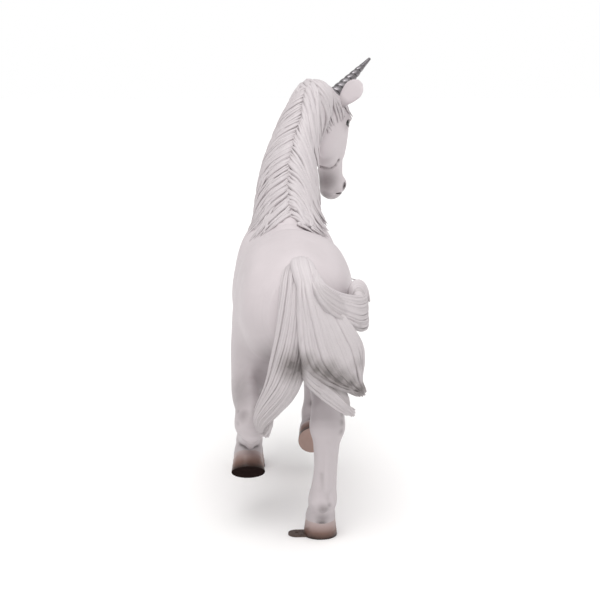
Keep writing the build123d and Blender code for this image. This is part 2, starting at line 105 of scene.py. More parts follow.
# Sections of the body: centre shares, then half width and half depth as shares of a girth
trunk_shares = (
    (0.515, 0.90, 0.74, 0.25),
    (0.500, 0.945, 0.70, 0.48),
    (0.465, 0.990, 0.64, 0.72),
    (0.400, 1.022, 0.60, 0.89),
    (0.300, 1.042, 0.58, 0.95),
    (0.180, 1.048, 0.585, 0.96),
    (0.050, 1.025, 0.56, 1.00),
    (-0.080, 1.008, 0.535, 1.04),
    (-0.200, 1.020, 0.52, 1.04),
    (-0.300, 1.045, 0.515, 0.98),
    (-0.380, 1.030, 0.53, 0.89),
    (-0.450, 0.975, 0.56, 0.77),
    (-0.505, 0.900, 0.62, 0.56),
    (-0.530, 0.830, 0.69, 0.28),
)
leg_shares = {
    "hind_left": (
        ((0.475, 0.250, 0.860), 0.85, 1.50),
        ((0.575, 0.240, 0.760), 0.95, 1.65),
        ((0.650, 0.225, 0.660), 0.90, 1.45),
        ((0.725, 0.245, 0.565), 0.75, 1.10),
        ((0.810, 0.320, 0.495), 0.60, 0.78),
        ((0.785, 0.400, 0.450), 0.50, 0.62),
        ((0.775, 0.428, 0.412), 0.50, 0.56),
        ((0.780, 0.370, 0.380), 0.42, 0.48),
        ((0.785, 0.290, 0.345), 0.39, 0.41),
        ((0.790, 0.210, 0.312), 0.42, 0.45),
        ((0.795, 0.165, 0.288), 0.47, 0.50),
        ((0.810, 0.172, 0.262), 0.45, 0.46),
        ((0.825, 0.194, 0.237), 0.51, 0.54),
        ((0.825, 0.235, 0.180), 0.60, 0.62),
    ),
    "hind_right": (
        ((-0.475, 0.270, 0.860), 0.85, 1.50),
        ((-0.525, 0.270, 0.760), 0.92, 1.62),
        ((-0.550, 0.275, 0.660), 0.86, 1.42),
        ((-0.560, 0.305, 0.570), 0.72, 1.08),
        ((-0.550, 0.370, 0.500), 0.59, 0.78),
        ((-0.525, 0.425, 0.450), 0.54, 0.64),
        ((-0.515, 0.448, 0.405), 0.53, 0.60),
        ((-0.500, 0.447, 0.340), 0.45, 0.49),
        ((-0.490, 0.443, 0.260), 0.40, 0.43),
        ((-0.465, 0.438, 0.190), 0.43, 0.46),
        ((-0.440, 0.435, 0.145), 0.49, 0.52),
        ((-0.425, 0.422, 0.103), 0.46, 0.47),
        ((-0.415, 0.407, 0.072), 0.52, 0.54),
        ((-0.415, 0.392, 0.000), 0.59, 0.62),
    ),
    "fore_left": (
        ((0.500, -0.350, 0.760), 0.72, 1.20),
        ((0.600, -0.345, 0.660), 0.72, 1.05),
        ((0.670, -0.355, 0.560), 0.60, 0.80),
        ((0.700, -0.375, 0.460), 0.49, 0.60),
        ((0.710, -0.395, 0.375), 0.46, 0.51),
        ((0.715, -0.400, 0.330), 0.47, 0.53),
        ((0.720, -0.403, 0.285), 0.41, 0.44),
        ((0.725, -0.410, 0.200), 0.38, 0.40),
        ((0.725, -0.418, 0.145), 0.45, 0.50),
        ((0.725, -0.432, 0.103), 0.43, 0.45),
        ((0.725, -0.443, 0.072), 0.51, 0.54),
        ((0.725, -0.455, 0.000), 0.59, 0.62),
    ),
    "fore_right": (
        ((-0.500, -0.350, 0.760), 0.72, 1.20),
        ((-0.575, -0.360, 0.660), 0.70, 1.00),
        ((-0.600, -0.405, 0.570), 0.59, 0.78),
        ((-0.590, -0.460, 0.490), 0.49, 0.58),
        ((-0.580, -0.505, 0.430), 0.46, 0.52),
        ((-0.570, -0.520, 0.392), 0.46, 0.52),
        ((-0.565, -0.500, 0.352), 0.40, 0.44),
        ((-0.555, -0.462, 0.280), 0.38, 0.40),
        ((-0.530, -0.432, 0.228), 0.44, 0.47),
        ((-0.510, -0.400, 0.195), 0.42, 0.43),
        ((-0.495, -0.368, 0.170), 0.50, 0.52),
        ((-0.490, -0.302, 0.146), 0.56, 0.60),
    ),
}
neck_shares = (
    ((0.000, -0.300, 0.800), 0.60, 1.00),
    ((0.000, -0.360, 0.930), 0.66, 1.06),
    ((0.000, -0.430, 1.040), 0.62, 0.96),
    ((-0.050, -0.500, 1.150), 0.56, 0.84),
    ((-0.170, -0.565, 1.260), 0.49, 0.70),
    ((-0.380, -0.630, 1.370), 0.43, 0.60),
    ((-0.600, -0.690, 1.450), 0.38, 0.50),
    ((-0.760, -0.735, 1.500), 0.30, 0.40),
)
head_shares = (
    ((-0.790, -0.748, 1.540), 0.50, 0.36),
    ((-0.825, -0.757, 1.508), 0.80, 0.70),
    ((-0.900, -0.770, 1.450), 0.89, 0.92),
    ((-0.950, -0.782, 1.370), 0.92, 1.00),
    ((-0.940, -0.780, 1.305), 0.86, 0.98),
    ((-0.945, -0.783, 1.250), 0.70, 0.82),
    ((-0.975, -0.790, 1.205), 0.58, 0.63),
    ((-1.010, -0.798, 1.155), 0.54, 0.55),
    ((-1.030, -0.802, 1.110), 0.555, 0.54),
    ((-1.020, -0.800, 1.078), 0.50, 0.46),
    ((-1.010, -0.798, 1.060), 0.28, 0.26),
)


def rows_of(table, girth):
    """Rows of centre, half width and half depth, in metres."""
    return np.array([[*place(row[0]), row[1] * girth, row[2] * girth] for row in table])


def smooth_rows(rows, fine):
    """Rows put between the given ones on a smooth curve through them."""
    padded = np.vstack([2 * rows[0] - rows[1], rows, 2 * rows[-1] - rows[-2]])
    padded[0, 3:] = rows[0, 3:]
    padded[-1, 3:] = rows[-1, 3:]
    found = []
    for n in range(1, len(padded) - 2):
        before, start, end, after = padded[n - 1 : n + 3]
        for step in range(fine):
            t = step / fine
            found.append(
                0.5
                * (
                    2 * start
                    + (end - before) * t
                    + (2 * before - 5 * start + 4 * end - after) * t * t
                    + (3 * start - before - 3 * end + after) * t * t * t
                )
            )
    found.append(rows[-1])
    return np.array(found)


def smooth_min(first, second, blend):
    """The lesser of two distances, rounded where they meet."""
    if blend <= 0:
        return np.minimum(first, second)
    width = blend_widening * blend
    near = np.maximum(width - np.abs(first - second), 0) / width
    return np.minimum(first, second) - near**3 * (width / 6)


def egg_distance(places, radii):
    """Distances to an egg form, close to true near it, from places along its three axes."""
    outer = np.sqrt(sum((v / r) ** 2 for v, r in zip(places, radii)))
    inner = np.sqrt(sum((v / r**2) ** 2 for v, r in zip(places, radii)))
    return outer * (outer - 1.0) / np.maximum(inner, 1e-6)


def eased(points, rounds):
    """Points evened along their line, which keeps its ends."""
    for _ in range(rounds):
        points[1:-1] = 0.5 * points[1:-1] + 0.25 * (points[:-2] + points[2:])
    return points


def read(block, index):
    """Values of a block in the cells of an index."""
    return block[index[:, 0], index[:, 1], index[:, 2]]


class Clay:
    """A block of signed distances that forms are added to and carved from."""

    far = 1.0

    def __init__(self, low, high, step):
        self.low = np.array(low, float)
        self.step = step
        self.shape = tuple(np.ceil((np.array(high) - low) / step).astype(int) + 1)
        self.values = np.full(self.shape, self.far, np.float32)

    def window(self, low, high):
        """The slices of the block between two corners."""
        first = np.maximum(np.floor((np.array(low) - self.low) / self.step).astype(int), 0)
        last = np.ceil((np.array(high) - self.low) / self.step).astype(int) + 1
        last = np.minimum(last, self.shape)
        return tuple(slice(a, max(a, b)) for a, b in zip(first, last))

    def coordinates(self, window, centre):
        """Coordinates in a window from a centre, ready to be combined."""
        axes = []
        for n in range(3):
            span = np.arange(window[n].start, window[n].stop) * self.step
            shape = [1, 1, 1]
            shape[n] = -1
            axes.append((span + self.low[n] - centre[n]).astype(np.float32).reshape(shape))
        return axes

    def join(self, window, distance, blend, hollow):
        """Adds a form, given by its distances, to the block, or carves it out."""
        sign = -1 if hollow else 1
        self.values[window] = sign * smooth_min(sign * self.values[window], distance, blend)

    def ball(self, centre, radii, blend, turn=None, hollow=False):
        """Adds or carves an egg form with three half sizes, turned by three row vectors."""
        centre = np.array(centre, float)
        radii = np.array(radii, float)
        margin = radii.max() + 2 * blend + self.step
        window = self.window(centre - margin, centre + margin)
        x, y, z = self.coordinates(window, centre)
        rows = np.eye(3) if turn is None else np.array(turn, float)
        local = [row[0] * x + row[1] * y + row[2] * z for row in rows]
        self.join(window, egg_distance(local, radii), blend, hollow)

    def chain(self, rows, blend, side=across, fine=4, hollow=False, reach=0.05):
        """Adds or carves a limb through oval sections."""
        rows = smooth_rows(np.array(rows, float), fine)
        margin = rows[:, 3:].max(axis=1)[:, None] + 2 * blend + self.step
        window = self.window(
            (rows[:, :3] - margin).min(axis=0), (rows[:, :3] + margin).max(axis=0)
        )
        shape = [s.stop - s.start for s in window]
        total = np.full(shape, self.far, np.float32)
        for start, end in zip(rows[:-1], rows[1:]):
            along = end[:3] - start[:3]
            length = np.linalg.norm(along)
            direction = along / length
            first_axis = square_to(direction, side)
            second_axis = np.cross(direction, first_axis)
            girth = max(start[3:].max(), end[3:].max()) + 2 * blend + self.step
            spread = np.sqrt(
                (first_axis * girth) ** 2
                + (second_axis * girth) ** 2
                + (direction * (reach + 2 * blend)) ** 2
            )
            low = np.minimum(start[:3], end[:3]) - spread
            high = np.maximum(start[:3], end[:3]) + spread
            part = self.window(low, high)
            part = tuple(
                slice(max(p.start, w.start), max(min(p.stop, w.stop), max(p.start, w.start)))
                for p, w in zip(part, window)
            )
            if any(s.stop <= s.start for s in part):
                continue
            x, y, z = self.coordinates(part, start[:3])
            t = np.clip((x * along[0] + y * along[1] + z * along[2]) / length**2, 0.0, 1.0)
            half_width = start[3] + (end[3] - start[3]) * t
            half_depth = start[4] + (end[4] - start[4]) * t
            x = x - along[0] * t
            y = y - along[1] * t
            z = z - along[2] * t
            u = first_axis[0] * x + first_axis[1] * y + first_axis[2] * z
            v = second_axis[0] * x + second_axis[1] * y + second_axis[2] * z
            w = direction[0] * x + direction[1] * y + direction[2] * z
            cap = np.minimum(half_width, half_depth)
            distance = egg_distance((u, v, w), (half_width, half_depth, cap))
            local = tuple(
                slice(p.start - w.start, p.stop - w.start) for p, w in zip(part, window)
            )
            total[local] = np.minimum(total[local], distance)
        self.join(window, total, blend, hollow)

    def slab(self, point, normal, blend=0.0):
        """Keeps only what lies behind a plane, with a rounded edge where a blend is given."""
        window = tuple(slice(0, n) for n in self.shape)
        x, y, z = self.coordinates(window, point)
        distance = (normal[0] * x + normal[1] * y + normal[2] * z).astype(np.float32)
        self.values = -smooth_min(-self.values, -distance, blend)

    def sample(self, points):
        """Distances at points, read between the cells."""
        spot = (points - self.low) / self.step
        spot = np.clip(spot, 0, np.array(self.shape) - 1.001)
        base = np.floor(spot).astype(int)
        part = spot - base
        total = np.zeros(len(points))
        for offset in cell_corners:
            weight = np.prod(np.where(offset, part, 1 - part), axis=1)
            total += weight * read(self.values, base + offset)
        return total

    def slope(self, points):
        """Outward directions at points."""
        ways = self.step * np.eye(3)
        found = [self.sample(points + way) - self.sample(points - way) for way in ways]
        found = np.stack(found, axis=1)
        length = np.linalg.norm(found, axis=1)[:, None]
        return found / np.maximum(length, 1e-9)

    def surface(self):
        """The smooth closed surface of the block, as points and four-sided faces."""
        values = self.values
        inside = values < 0
        counts = np.zeros(tuple(n - 1 for n in self.shape), np.uint8)
        for corner in cell_corners:
            counts += inside[tuple(slice(c, n - 1 + c) for c, n in zip(corner, self.shape))]
        cells = np.argwhere((counts > 0) & (counts < 8))
        corner_values = [read(values, cells + corner).astype(float) for corner in cell_corners]
        total = np.zeros((len(cells), 3))
        number = np.zeros(len(cells))
        for first in range(8):
            for axis in range(3):
                second = first | (1 << axis)
                if second == first:
                    continue
                a = corner_values[first]
                b = corner_values[second]
                crossing = (a < 0) != (b < 0)
                share = np.where(crossing, a / np.where(crossing, a - b, 1.0), 0.0)
                spot = np.tile(cell_corners[first].astype(float), (len(cells), 1))
                spot[:, axis] = share
                total += spot * crossing[:, None]
                number += crossing
        points = self.low + (cells + total / number[:, None]) * self.step
        index_of = np.full(counts.shape, -1, np.int32)
        index_of[tuple(cells.T)] = np.arange(len(cells))
        faces = []
        for axis in range(3):
            second_axis = (axis + 1) % 3
            third_axis = (axis + 2) % 3
            ahead = [slice(None)] * 3
            behind = [slice(None)] * 3
            ahead[axis] = slice(1, None)
            behind[axis] = slice(0, -1)
            start_inside = inside[tuple(behind)]
            end_inside = inside[tuple(ahead)]
            edges = np.argwhere(start_inside != end_inside)
            edges = edges[(edges[:, second_axis] > 0) & (edges[:, third_axis] > 0)]
            edges = edges[
                (edges[:, second_axis] < counts.shape[second_axis])
                & (edges[:, third_axis] < counts.shape[third_axis])
            ]
            leaving = read(start_inside, edges)
            ring = []
            for back_second, back_third in ((1, 1), (0, 1), (0, 0), (1, 0)):
                cell = edges.copy()
                cell[:, second_axis] -= back_second
                cell[:, third_axis] -= back_third
                ring.append(read(index_of, cell))
            ring = np.stack(ring, axis=1)
            ring[~leaving] = ring[~leaving][:, ::-1]
            faces.append(ring)
        return points, np.vstack(faces)


def both_ways(pairs):
    """Pairs of neighbours, each taken from both its ends."""
    return np.vstack([pairs, pairs[:, ::-1]])


def amid(points, pairs):
    """The middle of the neighbours of each point."""
    number = np.maximum(np.bincount(pairs[:, 0], minlength=len(points)), 1)[:, None]
    total = [
        np.bincount(pairs[:, 0], points[pairs[:, 1], n], minlength=len(points)) for n in range(3)
    ]
    return np.stack(total, axis=1) / number


def relax(points, faces, rounds):
    """Points evened out without shrinking the form."""
    pairs = both_ways(np.vstack([faces[:, [n, (n + 1) % 4]] for n in range(4)]))
    for _ in range(rounds):
        for pull in (0.5, -0.53):
            points = points + pull * (amid(points, pairs) - points)
    return points


# Helpers for meshes, materials and shades

def settings():
    """The values that shape the finish."""
    return bpy.context.scene.unicorn_finish


def mesh_object(name, points, faces, kind, normals=None):
    """A smooth painted mesh object, from points in the statue's own places and faces."""
    mesh = bpy.data.meshes.new(name)
    shifted = np.asarray(points) + origin_shift
    mesh.from_pydata(shifted.tolist(), [], [list(map(int, f)) for f in faces])
    mesh.materials.append(paint_of(kind))
    mesh.shade_smooth()
    if normals is not None:
        mesh.normals_split_custom_set_from_vertices(np.asarray(normals).tolist())
    thing = bpy.data.objects.new(name, mesh)
    bpy.context.scene.collection.objects.link(thing)
    return thing


def cast(name, clay, kind):
    """A painted mesh object of the surface of a clay, with its points, faces and directions."""
    points, faces = clay.surface()
    directions = clay.slope(points)
    return mesh_object(name, points, faces, kind, directions), points, faces, directions


def shade(thing, **values):
    """Stores a value for each point of a mesh under each name."""
    for name, numbers in values.items():
        attribute = thing.data.attributes.new(name, "FLOAT", "POINT")
        attribute.data.foreach_set("value", np.asarray(numbers, np.float32))


def points_of(thing):
    """The points of a mesh, in the statue's own places."""
    found = np.zeros(len(thing.data.vertices) * 3, np.float32)
    thing.data.vertices.foreach_get("co", found)
    return found.reshape(-1, 3) - origin_shift


def normals_of(thing):
    """The outward directions of a mesh at its points."""
    found = np.zeros(len(thing.data.vertices) * 3, np.float32)
    thing.data.vertices.foreach_get("normal", found)
    return found.reshape(-1, 3)


def recess(points, faces, directions, rounds):
    """How far the surface lies in a hollow at each point, found by filling the hollows."""
    pairs = [(face[n - 1], face[n]) for face in faces for n in range(len(face))]
    pairs = both_ways(np.array(pairs))
    filled = points.copy()
    for _ in range(rounds):
        filled = 0.5 * filled + 0.5 * amid(filled, pairs)
    return ((filled - points) * directions).sum(axis=1)


def painted_shade_spots(points):
    """Places darkened with spots of painted shade."""
    shade_of = np.zeros(len(points))
    for spot, radius, strength in shade_spot_places():
        distance = np.linalg.norm(points - spot, axis=1) / radius
        shade_of = np.maximum(shade_of, strength * np.exp(-(distance**2)))
    return shade_of


def finish_piece(thing, nodes):
    """Puts a piece on the statue in the place of its frame pieces."""
    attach(thing, "root")
    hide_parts(*nodes)


class Paint:
    """A material put together from named steps."""

    def __init__(self, name):
        self.material = bpy.data.materials.new(name)
        self.material.use_nodes = True
        self.nodes = self.material.node_tree.nodes
        self.links = self.material.node_tree.links
        self.shader = self.nodes["Principled BSDF"]

    def add(self, kind, **values):
        """A node with some of its sockets set."""
        node = self.nodes.new(kind)
        for name, value in values.items():
            node.inputs[name.replace("_", " ")].default_value = value
        return node

    def link(self, start, end):
        """Joins two sockets."""
        self.links.new(start, end)

    def feed(self, socket, source):
        """Links a socket to its source, or sets it to a number or a colour."""
        if isinstance(source, bpy.types.NodeSocket):
            self.link(source, socket)
        elif isinstance(source, tuple):
            socket.default_value = (*source, 1.0)
        else:
            socket.default_value = source

    def drive(self, name, source):
        """Feeds an input of the shader."""
        self.feed(self.shader.inputs[name], source)

    def noise(self, scale, detail=4.0, roughness=0.6):
        """Noise over the object, from nothing to one."""
        place_node = self.nodes.new("ShaderNodeTexCoord")
        node = self.add("ShaderNodeTexNoise", Scale=scale, Detail=detail, Roughness=roughness)
        self.link(place_node.outputs["Object"], node.inputs["Vector"])
        return node.outputs["Fac"]

    def value(self, name):
        """A value stored at the points of the mesh."""
        node = self.nodes.new("ShaderNodeAttribute")
        node.attribute_name = name
        return node.outputs["Fac"]

    def ramp(self, factor, *stops):
        """A range of colours along a value."""
        node = self.nodes.new("ShaderNodeValToRGB")
        ramp = node.color_ramp
        while len(ramp.elements) < len(stops):
            ramp.elements.new(0.5)
        for element, (spot, colour) in zip(ramp.elements, stops):
            element.position = spot
            element.color = (*colour, 1.0)
        self.link(factor, node.inputs["Fac"])
        return node.outputs["Color"]

    def greys(self, factor, low, high, end=0.75):
        """A range of greys along a value."""
        return self.ramp(factor, (0.3, (low,) * 3), (end, (high,) * 3))

    def mixed(self, factor, first, second):
        """Two colours mixed by a value."""
        node = self.nodes.new("ShaderNodeMix")
        node.data_type = "RGBA"
        for number, source in ((0, factor), (6, first), (7, second)):
            self.feed(node.inputs[number], source)
        return node.outputs[2]

    def maths(self, operation, first, second):
        """Two values combined and kept between nothing and one."""
        node = self.nodes.new("ShaderNodeMath")
        node.operation = operation
        node.use_clamp = True
        self.feed(node.inputs[0], first)
        self.feed(node.inputs[1], second)
        return node.outputs[0]

    def relief(self, height, strength, distance=0.001):
        """Small relief from a height."""
        node = self.add("ShaderNodeBump", Strength=strength, Distance=distance)
        self.link(height, node.inputs["Height"])
        self.link(node.outputs["Normal"], self.shader.inputs["Normal"])


# Painted shade above this level shows the brown black painted shade of the deepest hollows, up to a
# full cover
deep_shade_start = 0.78
deep_shade_gain = 7.0
deep_shade_colour = (0.018, 0.014, 0.014)


def resin_paint(name, light, dark, ragged):
    """Painted resin with grey painted shade in its hollows and small brush marks."""
    paint = Paint(name)
    low, high = (tuple(c * share for c in light) for share in (0.95, 0.975))
    base = paint.ramp(paint.noise(7.0, 5.0), (0.30, low), (0.62, light), (0.80, high))
    wash = paint.value("wash")
    # The dark colour is mixed in as painted shade where the mesh stores it, made patchy by noise
    patchy_shade = paint.maths("MULTIPLY", wash, paint.noise(ragged, 6.0, 0.7))
    spread = paint.maths(
        "ADD", paint.maths("MULTIPLY", wash, 0.65), paint.maths("MULTIPLY", patchy_shade, 0.7)
    )
    colour = paint.mixed(spread, base, dark)
    # The deepest hollows get a brown black painted shade
    deep_shade = paint.maths("MULTIPLY", paint.maths("SUBTRACT", wash, deep_shade_start), deep_shade_gain)
    paint.drive("Base Color", paint.mixed(deep_shade, colour, deep_shade_colour))
    paint.drive("Roughness", paint.greys(paint.noise(30.0), 0.40, 0.58))
    paint.relief(paint.noise(160.0, 5.0), 0.25, 0.0012)
    return paint.material


def hoof_paint():
    """Hoof horn: pinkish grey at the top, brown below, dark at the rim and on the sole."""
    paint = Paint("hoof_paint")
    rings = paint.maths("SUBTRACT", paint.noise(22.0, 3.0), 0.5)
    uneven = paint.maths("ADD", paint.value("drop"), paint.maths("MULTIPLY", rings, 0.25))
    wall = paint.ramp(
        uneven,
        (0.0, (0.47, 0.405, 0.40)),
        (0.30, (0.37, 0.285, 0.272)),
        (0.66, (0.185, 0.110, 0.090)),
        (0.95, (0.035, 0.020, 0.016)),
    )
    sole = paint.value("sole")
    under = paint.mixed(paint.value("pale_sole"), (0.012, 0.007, 0.007), (0.44, 0.315, 0.28))
    dirt = paint.maths("MULTIPLY", paint.noise(35.0, 5.0), 0.16)
    under = paint.mixed(dirt, under, (0.10, 0.07, 0.06))
    paint.drive("Base Color", paint.mixed(sole, wall, under))
    shine = paint.mixed(sole, (1.0, 1.0, 1.0), (0.0, 0.0, 0.0))
    paint.drive("Specular IOR Level", paint.maths("MULTIPLY", shine, 0.3))
    gloss = paint.greys(paint.noise(26.0), 0.30, 0.50, 0.8)
    paint.drive("Roughness", paint.mixed(sole, gloss, (0.95, 0.95, 0.95)))
    paint.relief(paint.noise(120.0, 4.0), 0.3, 0.001)
    return paint.material


def metal_paint(name, light, dark, rough, metallic, scale, strength):
    """Metal or a hard material with a colour that varies, and a dark painted shade where its mesh
    stores one.
    """
    paint = Paint(name)
    colour = paint.ramp(paint.noise(scale, 6.0, 0.65), (0.35, dark), (0.68, light))
    painted_shade_colour = tuple(c * 0.25 for c in dark)
    # Painted shade darkens the colour where the mesh stores it, as in the grooves of the horn
    paint.drive("Base Color", paint.mixed(paint.value("wash"), colour, painted_shade_colour))
    paint.drive("Metallic", metallic)
    gloss = paint.greys(paint.noise(scale * 1.7, 4.0), rough * 0.8, min(rough * 1.35, 1.0))
    paint.drive("Roughness", gloss)
    paint.relief(paint.noise(scale * 5.0, 4.0), strength, 0.001)
    return paint.material


def eye_paint():
    """Polished black enamel with a faint brown depth."""
    paint = Paint("eye_enamel")
    black, brown = (0.004, 0.003, 0.003), (0.014, 0.009, 0.007)
    paint.drive("Base Color", paint.ramp(paint.noise(60.0), (0.3, black), (0.8, brown)))
    paint.drive("Roughness", paint.greys(paint.noise(90.0), 0.04, 0.09, 0.8))
    paint.drive("Coat Weight", 0.6)
    paint.relief(paint.noise(200.0), 0.02, 0.0005)
    return paint.material


# How each paint is made: the light and the dark colour, the dark one of resin being its painted
# shade, then for resin the scale of its clouds, and for the others roughness, metal, the scale of
# the pattern and the strength of the relief
paint_kinds = {
    "skin": (resin_paint, "skin_paint", (0.635, 0.582, 0.602), (0.135, 0.115, 0.115), 14.0),
    "hair": (resin_paint, "hair_paint", (0.622, 0.580, 0.597), (0.155, 0.135, 0.130), 24.0),
    "hoof": (hoof_paint,),
    "eye": (eye_paint,),
    "horn": (
        metal_paint, "horn_metal", (0.34, 0.325, 0.34), (0.22, 0.205, 0.22), 0.26, 1.0, 30.0, 0.02
    ),
    "tab": (
        metal_paint, "tab_brown_steel", (0.120, 0.085, 0.072), (0.060, 0.040, 0.034),
        0.60, 0.25, 60.0, 0.3,
    ),
    "steel": (
        metal_paint, "armature_steel", (0.33, 0.32, 0.31), (0.16, 0.13, 0.11), 0.5, 0.9, 35.0, 0.3
    ),
    "zinc": (
        metal_paint, "zinc_plate", (0.62, 0.63, 0.65), (0.42, 0.43, 0.44), 0.32, 1.0, 70.0, 0.15
    ),
    "plywood": (
        metal_paint, "plywood_face", (0.58, 0.42, 0.26), (0.40, 0.27, 0.15), 0.7, 0.0, 12.0, 0.4
    ),
    "laminate": (
        metal_paint, "raw_laminate", (0.55, 0.56, 0.44), (0.38, 0.40, 0.30), 0.45, 0.0, 50.0, 0.5
    ),
}
paints = {}


def paint_of(kind):
    """The material of a kind, made once."""
    if kind not in paints:
        make, *values = paint_kinds[kind]
        paints[kind] = make(*values)
    return paints[kind]


# Sculpting

trunk_rows = []
for along_share, top_share, bottom_share, width_share in trunk_shares:
    middle = place((0, along_share, (top_share + bottom_share) / 2))
    half_height = (top_share - bottom_share) * back_height / 2
    trunk_rows.append([*middle, width_share * barrel_half_width, half_height])
trunk_rows = np.array(trunk_rows)
neck_rows = rows_of(neck_shares, neck_width)
head_rows = np.array(
    [[*place(r[0]), r[1] * head_width / 2, r[2] * head_depth / 2] for r in head_shares]
)
leg_rows = {name: rows_of(table, limb_width) for name, table in leg_shares.items()}
leg_joint = {"hind_left": 4.0, "hind_right": 4.5, "fore_left": 4.0, "fore_right": 4.0}
leg_coronet = {"hind_left": 12, "hind_right": 12, "fore_left": 10, "fore_right": 10}


def on_head(level, side_share, front_share):
    """A point on a level of the head, from shares of its half width and half depth."""
    base = int(min(level, len(head_rows) - 2))
    row = head_rows[base] + (head_rows[base + 1] - head_rows[base]) * (level - base)
    return row[:3] + head_side * side_share * row[3] + head_front * front_share * row[4]


def along(rows, spot):
    """A row between the rows of a limb."""
    base = int(min(max(spot, 0), len(rows) - 2))
    return rows[base] + (rows[base + 1] - rows[base]) * (spot - base)


def heading(rows, spot):
    """The direction of a limb at a spot."""
    ahead = along(rows, min(spot + 0.5, len(rows) - 1))[:3]
    return unit(ahead - along(rows, max(spot - 0.5, 0))[:3])


def behind(rows, spot):
    """The direction to the back of a limb at a spot."""
    return unit(-np.cross(heading(rows, spot), across))


def off_back(rows, spot, depth):
    """A point of a limb, moved towards its back."""
    return along(rows, spot)[:3] + behind(rows, spot) * depth


def tendon_row(rows, spot, share, girth):
    """A row of a tendon, at a share of the half depth behind the middle of a limb."""
    row = along(rows, spot)
    return [*(row[:3] + behind(rows, spot) * row[4] * share), girth, girth]


# Forms of the trunk: middle, half sizes and blend. Muscles and flank hollows are on both sides
trunk_muscles = (
    ((0.098, 0.24, 0.89), (0.080, 0.18, 0.120), 0.05),
    ((0.108, 0.40, 0.80), (0.066, 0.09, 0.15), 0.05),
    ((0.125, -0.30, 0.83), (0.060, 0.10, 0.15), 0.05),
    ((0.140, -0.26, 0.72), (0.060, 0.10, 0.10), 0.05),
    ((0.115, -0.45, 0.80), (0.060, 0.075, 0.09), 0.05),
    ((0.060, -0.49, 0.73), (0.058, 0.06, 0.11), 0.04),
)
trunk_ridges = (
    ((0, -0.27, 1.015), (0.055, 0.15, 0.050), 0.06),
    ((0, 0.46, 0.950), (0.050, 0.06, 0.045), 0.05),
)
flank_hollows = (
    ((0.235, 0.04, 0.80), (0.035, 0.07, 0.11), 0.05),
    ((0.225, -0.38, 0.83), (0.020, 0.03, 0.12), 0.03),
)
middle_hollows = (
    ((0, -0.56, 0.76), (0.018, 0.03, 0.10), 0.03),
    ((0, 0.55, 0.80), (0.016, 0.05, 0.14), 0.03),
)


def trunk_forms(clay, paired, middle, hollow):
    """Adds or carves the forms of two tables, the paired ones on both sides."""
    for side, forms in ((-1, paired), (1, paired), (1, middle)):
        for (x, y, z), radii, blend in forms:
            clay.ball((side * x, y, z), radii, blend, hollow=hollow)


def sculpt_trunk(clay):
    """The trunk with its muscles."""
    clay.chain(trunk_rows, 0.0, fine=7)
    trunk_forms(clay, trunk_muscles, trunk_ridges, False)


def sculpt_flanks(clay):
    """Hollows carved between the muscles of the trunk."""
    trunk_forms(clay, flank_hollows, middle_hollows, True)


# Spots of the tendon above the hock, with its share of the half depth and its half width
hock_string = ((2.4, 0.95, 0.018), (3.3, 1.02, 0.015), (4.0, 1.02, 0.016), (4.6, 1.0, 0.019))
# Spots of the joints on their limbs; the fetlock lies a number of rows above the coronet
fore_knee = 5.0
hock = 6.0
fetlock_above = 2.0
tendon_girth = 0.0125


def knobs(clay, joint, share, radii, blend, offset=0.0):
    """The two bony swellings at the sides of a joint."""
    for sign in (-1, 1):
        clay.ball(joint[:3] + across * sign * joint[3] * share + offset, radii, blend)


def sculpt_leg(clay, name):
    """One leg with its joints, tendons and muscles."""
    rows = leg_rows[name]
    upper = 5 if name.startswith("hind") else 4
    coronet = leg_coronet[name]
    clay.chain(rows[: upper + 1], 0.05, fine=6, reach=0.14)
    clay.chain(rows[upper : coronet + 1], 0.012)
    if name.startswith("hind"):
        side = 1 if name.endswith("left") else -1
        clay.ball(off_back(rows, 1.3, -0.085), (0.062, 0.085, 0.115), 0.06)
        calf = off_back(rows, 2.6, 0.045) + across * side * 0.01
        clay.ball(calf, (0.052, 0.075, 0.105), 0.05)
        clay.ball(off_back(rows, 4.6, 0.052), (0.021, 0.030, 0.038), 0.035)
        clay.chain([tendon_row(rows, *values) for values in hock_string], 0.028)
        knobs(clay, along(rows, hock), 0.62, (0.024, 0.032, 0.036), 0.025)
    else:
        clay.ball(off_back(rows, 1.1, 0.03), (0.055, 0.075, 0.12), 0.05)
        joint = along(rows, fore_knee)
        knobs(clay, joint, 0.55, (0.026, 0.034, 0.036), 0.02)
        pisiform = joint[:3] + behind(rows, fore_knee) * joint[4] * 0.85
        clay.ball(pisiform, (0.020, 0.020, 0.030), 0.02)
    start = coronet - 5.2
    end = coronet - 1.8
    spots = [start + (end - start) * n / 5 for n in range(6)]
    clay.chain([tendon_row(rows, spot, 0.88, tendon_girth) for spot in spots], 0.008)
    fetlock = along(rows, coronet - fetlock_above)
    back = behind(rows, coronet - fetlock_above)
    knobs(clay, fetlock, 0.45, (0.021, 0.024, 0.027), 0.016, back * fetlock[4] * 0.50)
    down = heading(rows, coronet - fetlock_above)
    ergot = fetlock[:3] + back * fetlock[4] * 0.95 + down * 0.012
    clay.ball(ergot, (0.014, 0.012, 0.020), 0.012)


gullet_rows = (
    (0.0, -0.535, 0.93, 0.040, 0.040),
    (-0.005, -0.600, 1.04, 0.036, 0.036),
    (-0.030, -0.655, 1.15, 0.033, 0.033),
    (-0.065, -0.690, 1.25, 0.034, 0.034),
    (-0.105, -0.715, 1.33, 0.036, 0.036),
)


def sculpt_neck(clay):
    """The neck, the poll and the throat."""
    clay.chain(neck_rows, 0.05)
    clay.chain(gullet_rows, 0.04)


def jaw_crease(side):
    """Places on the head along the lower edge of the cheek."""
    return (
        (6.20, side * 0.10, -1.02),
        (6.40, side * 0.55, -0.84),
        (6.38, side * 0.84, -0.54),
        (6.15, side * 0.98, -0.20),
        (5.75, side * 1.00, 0.05),
    )


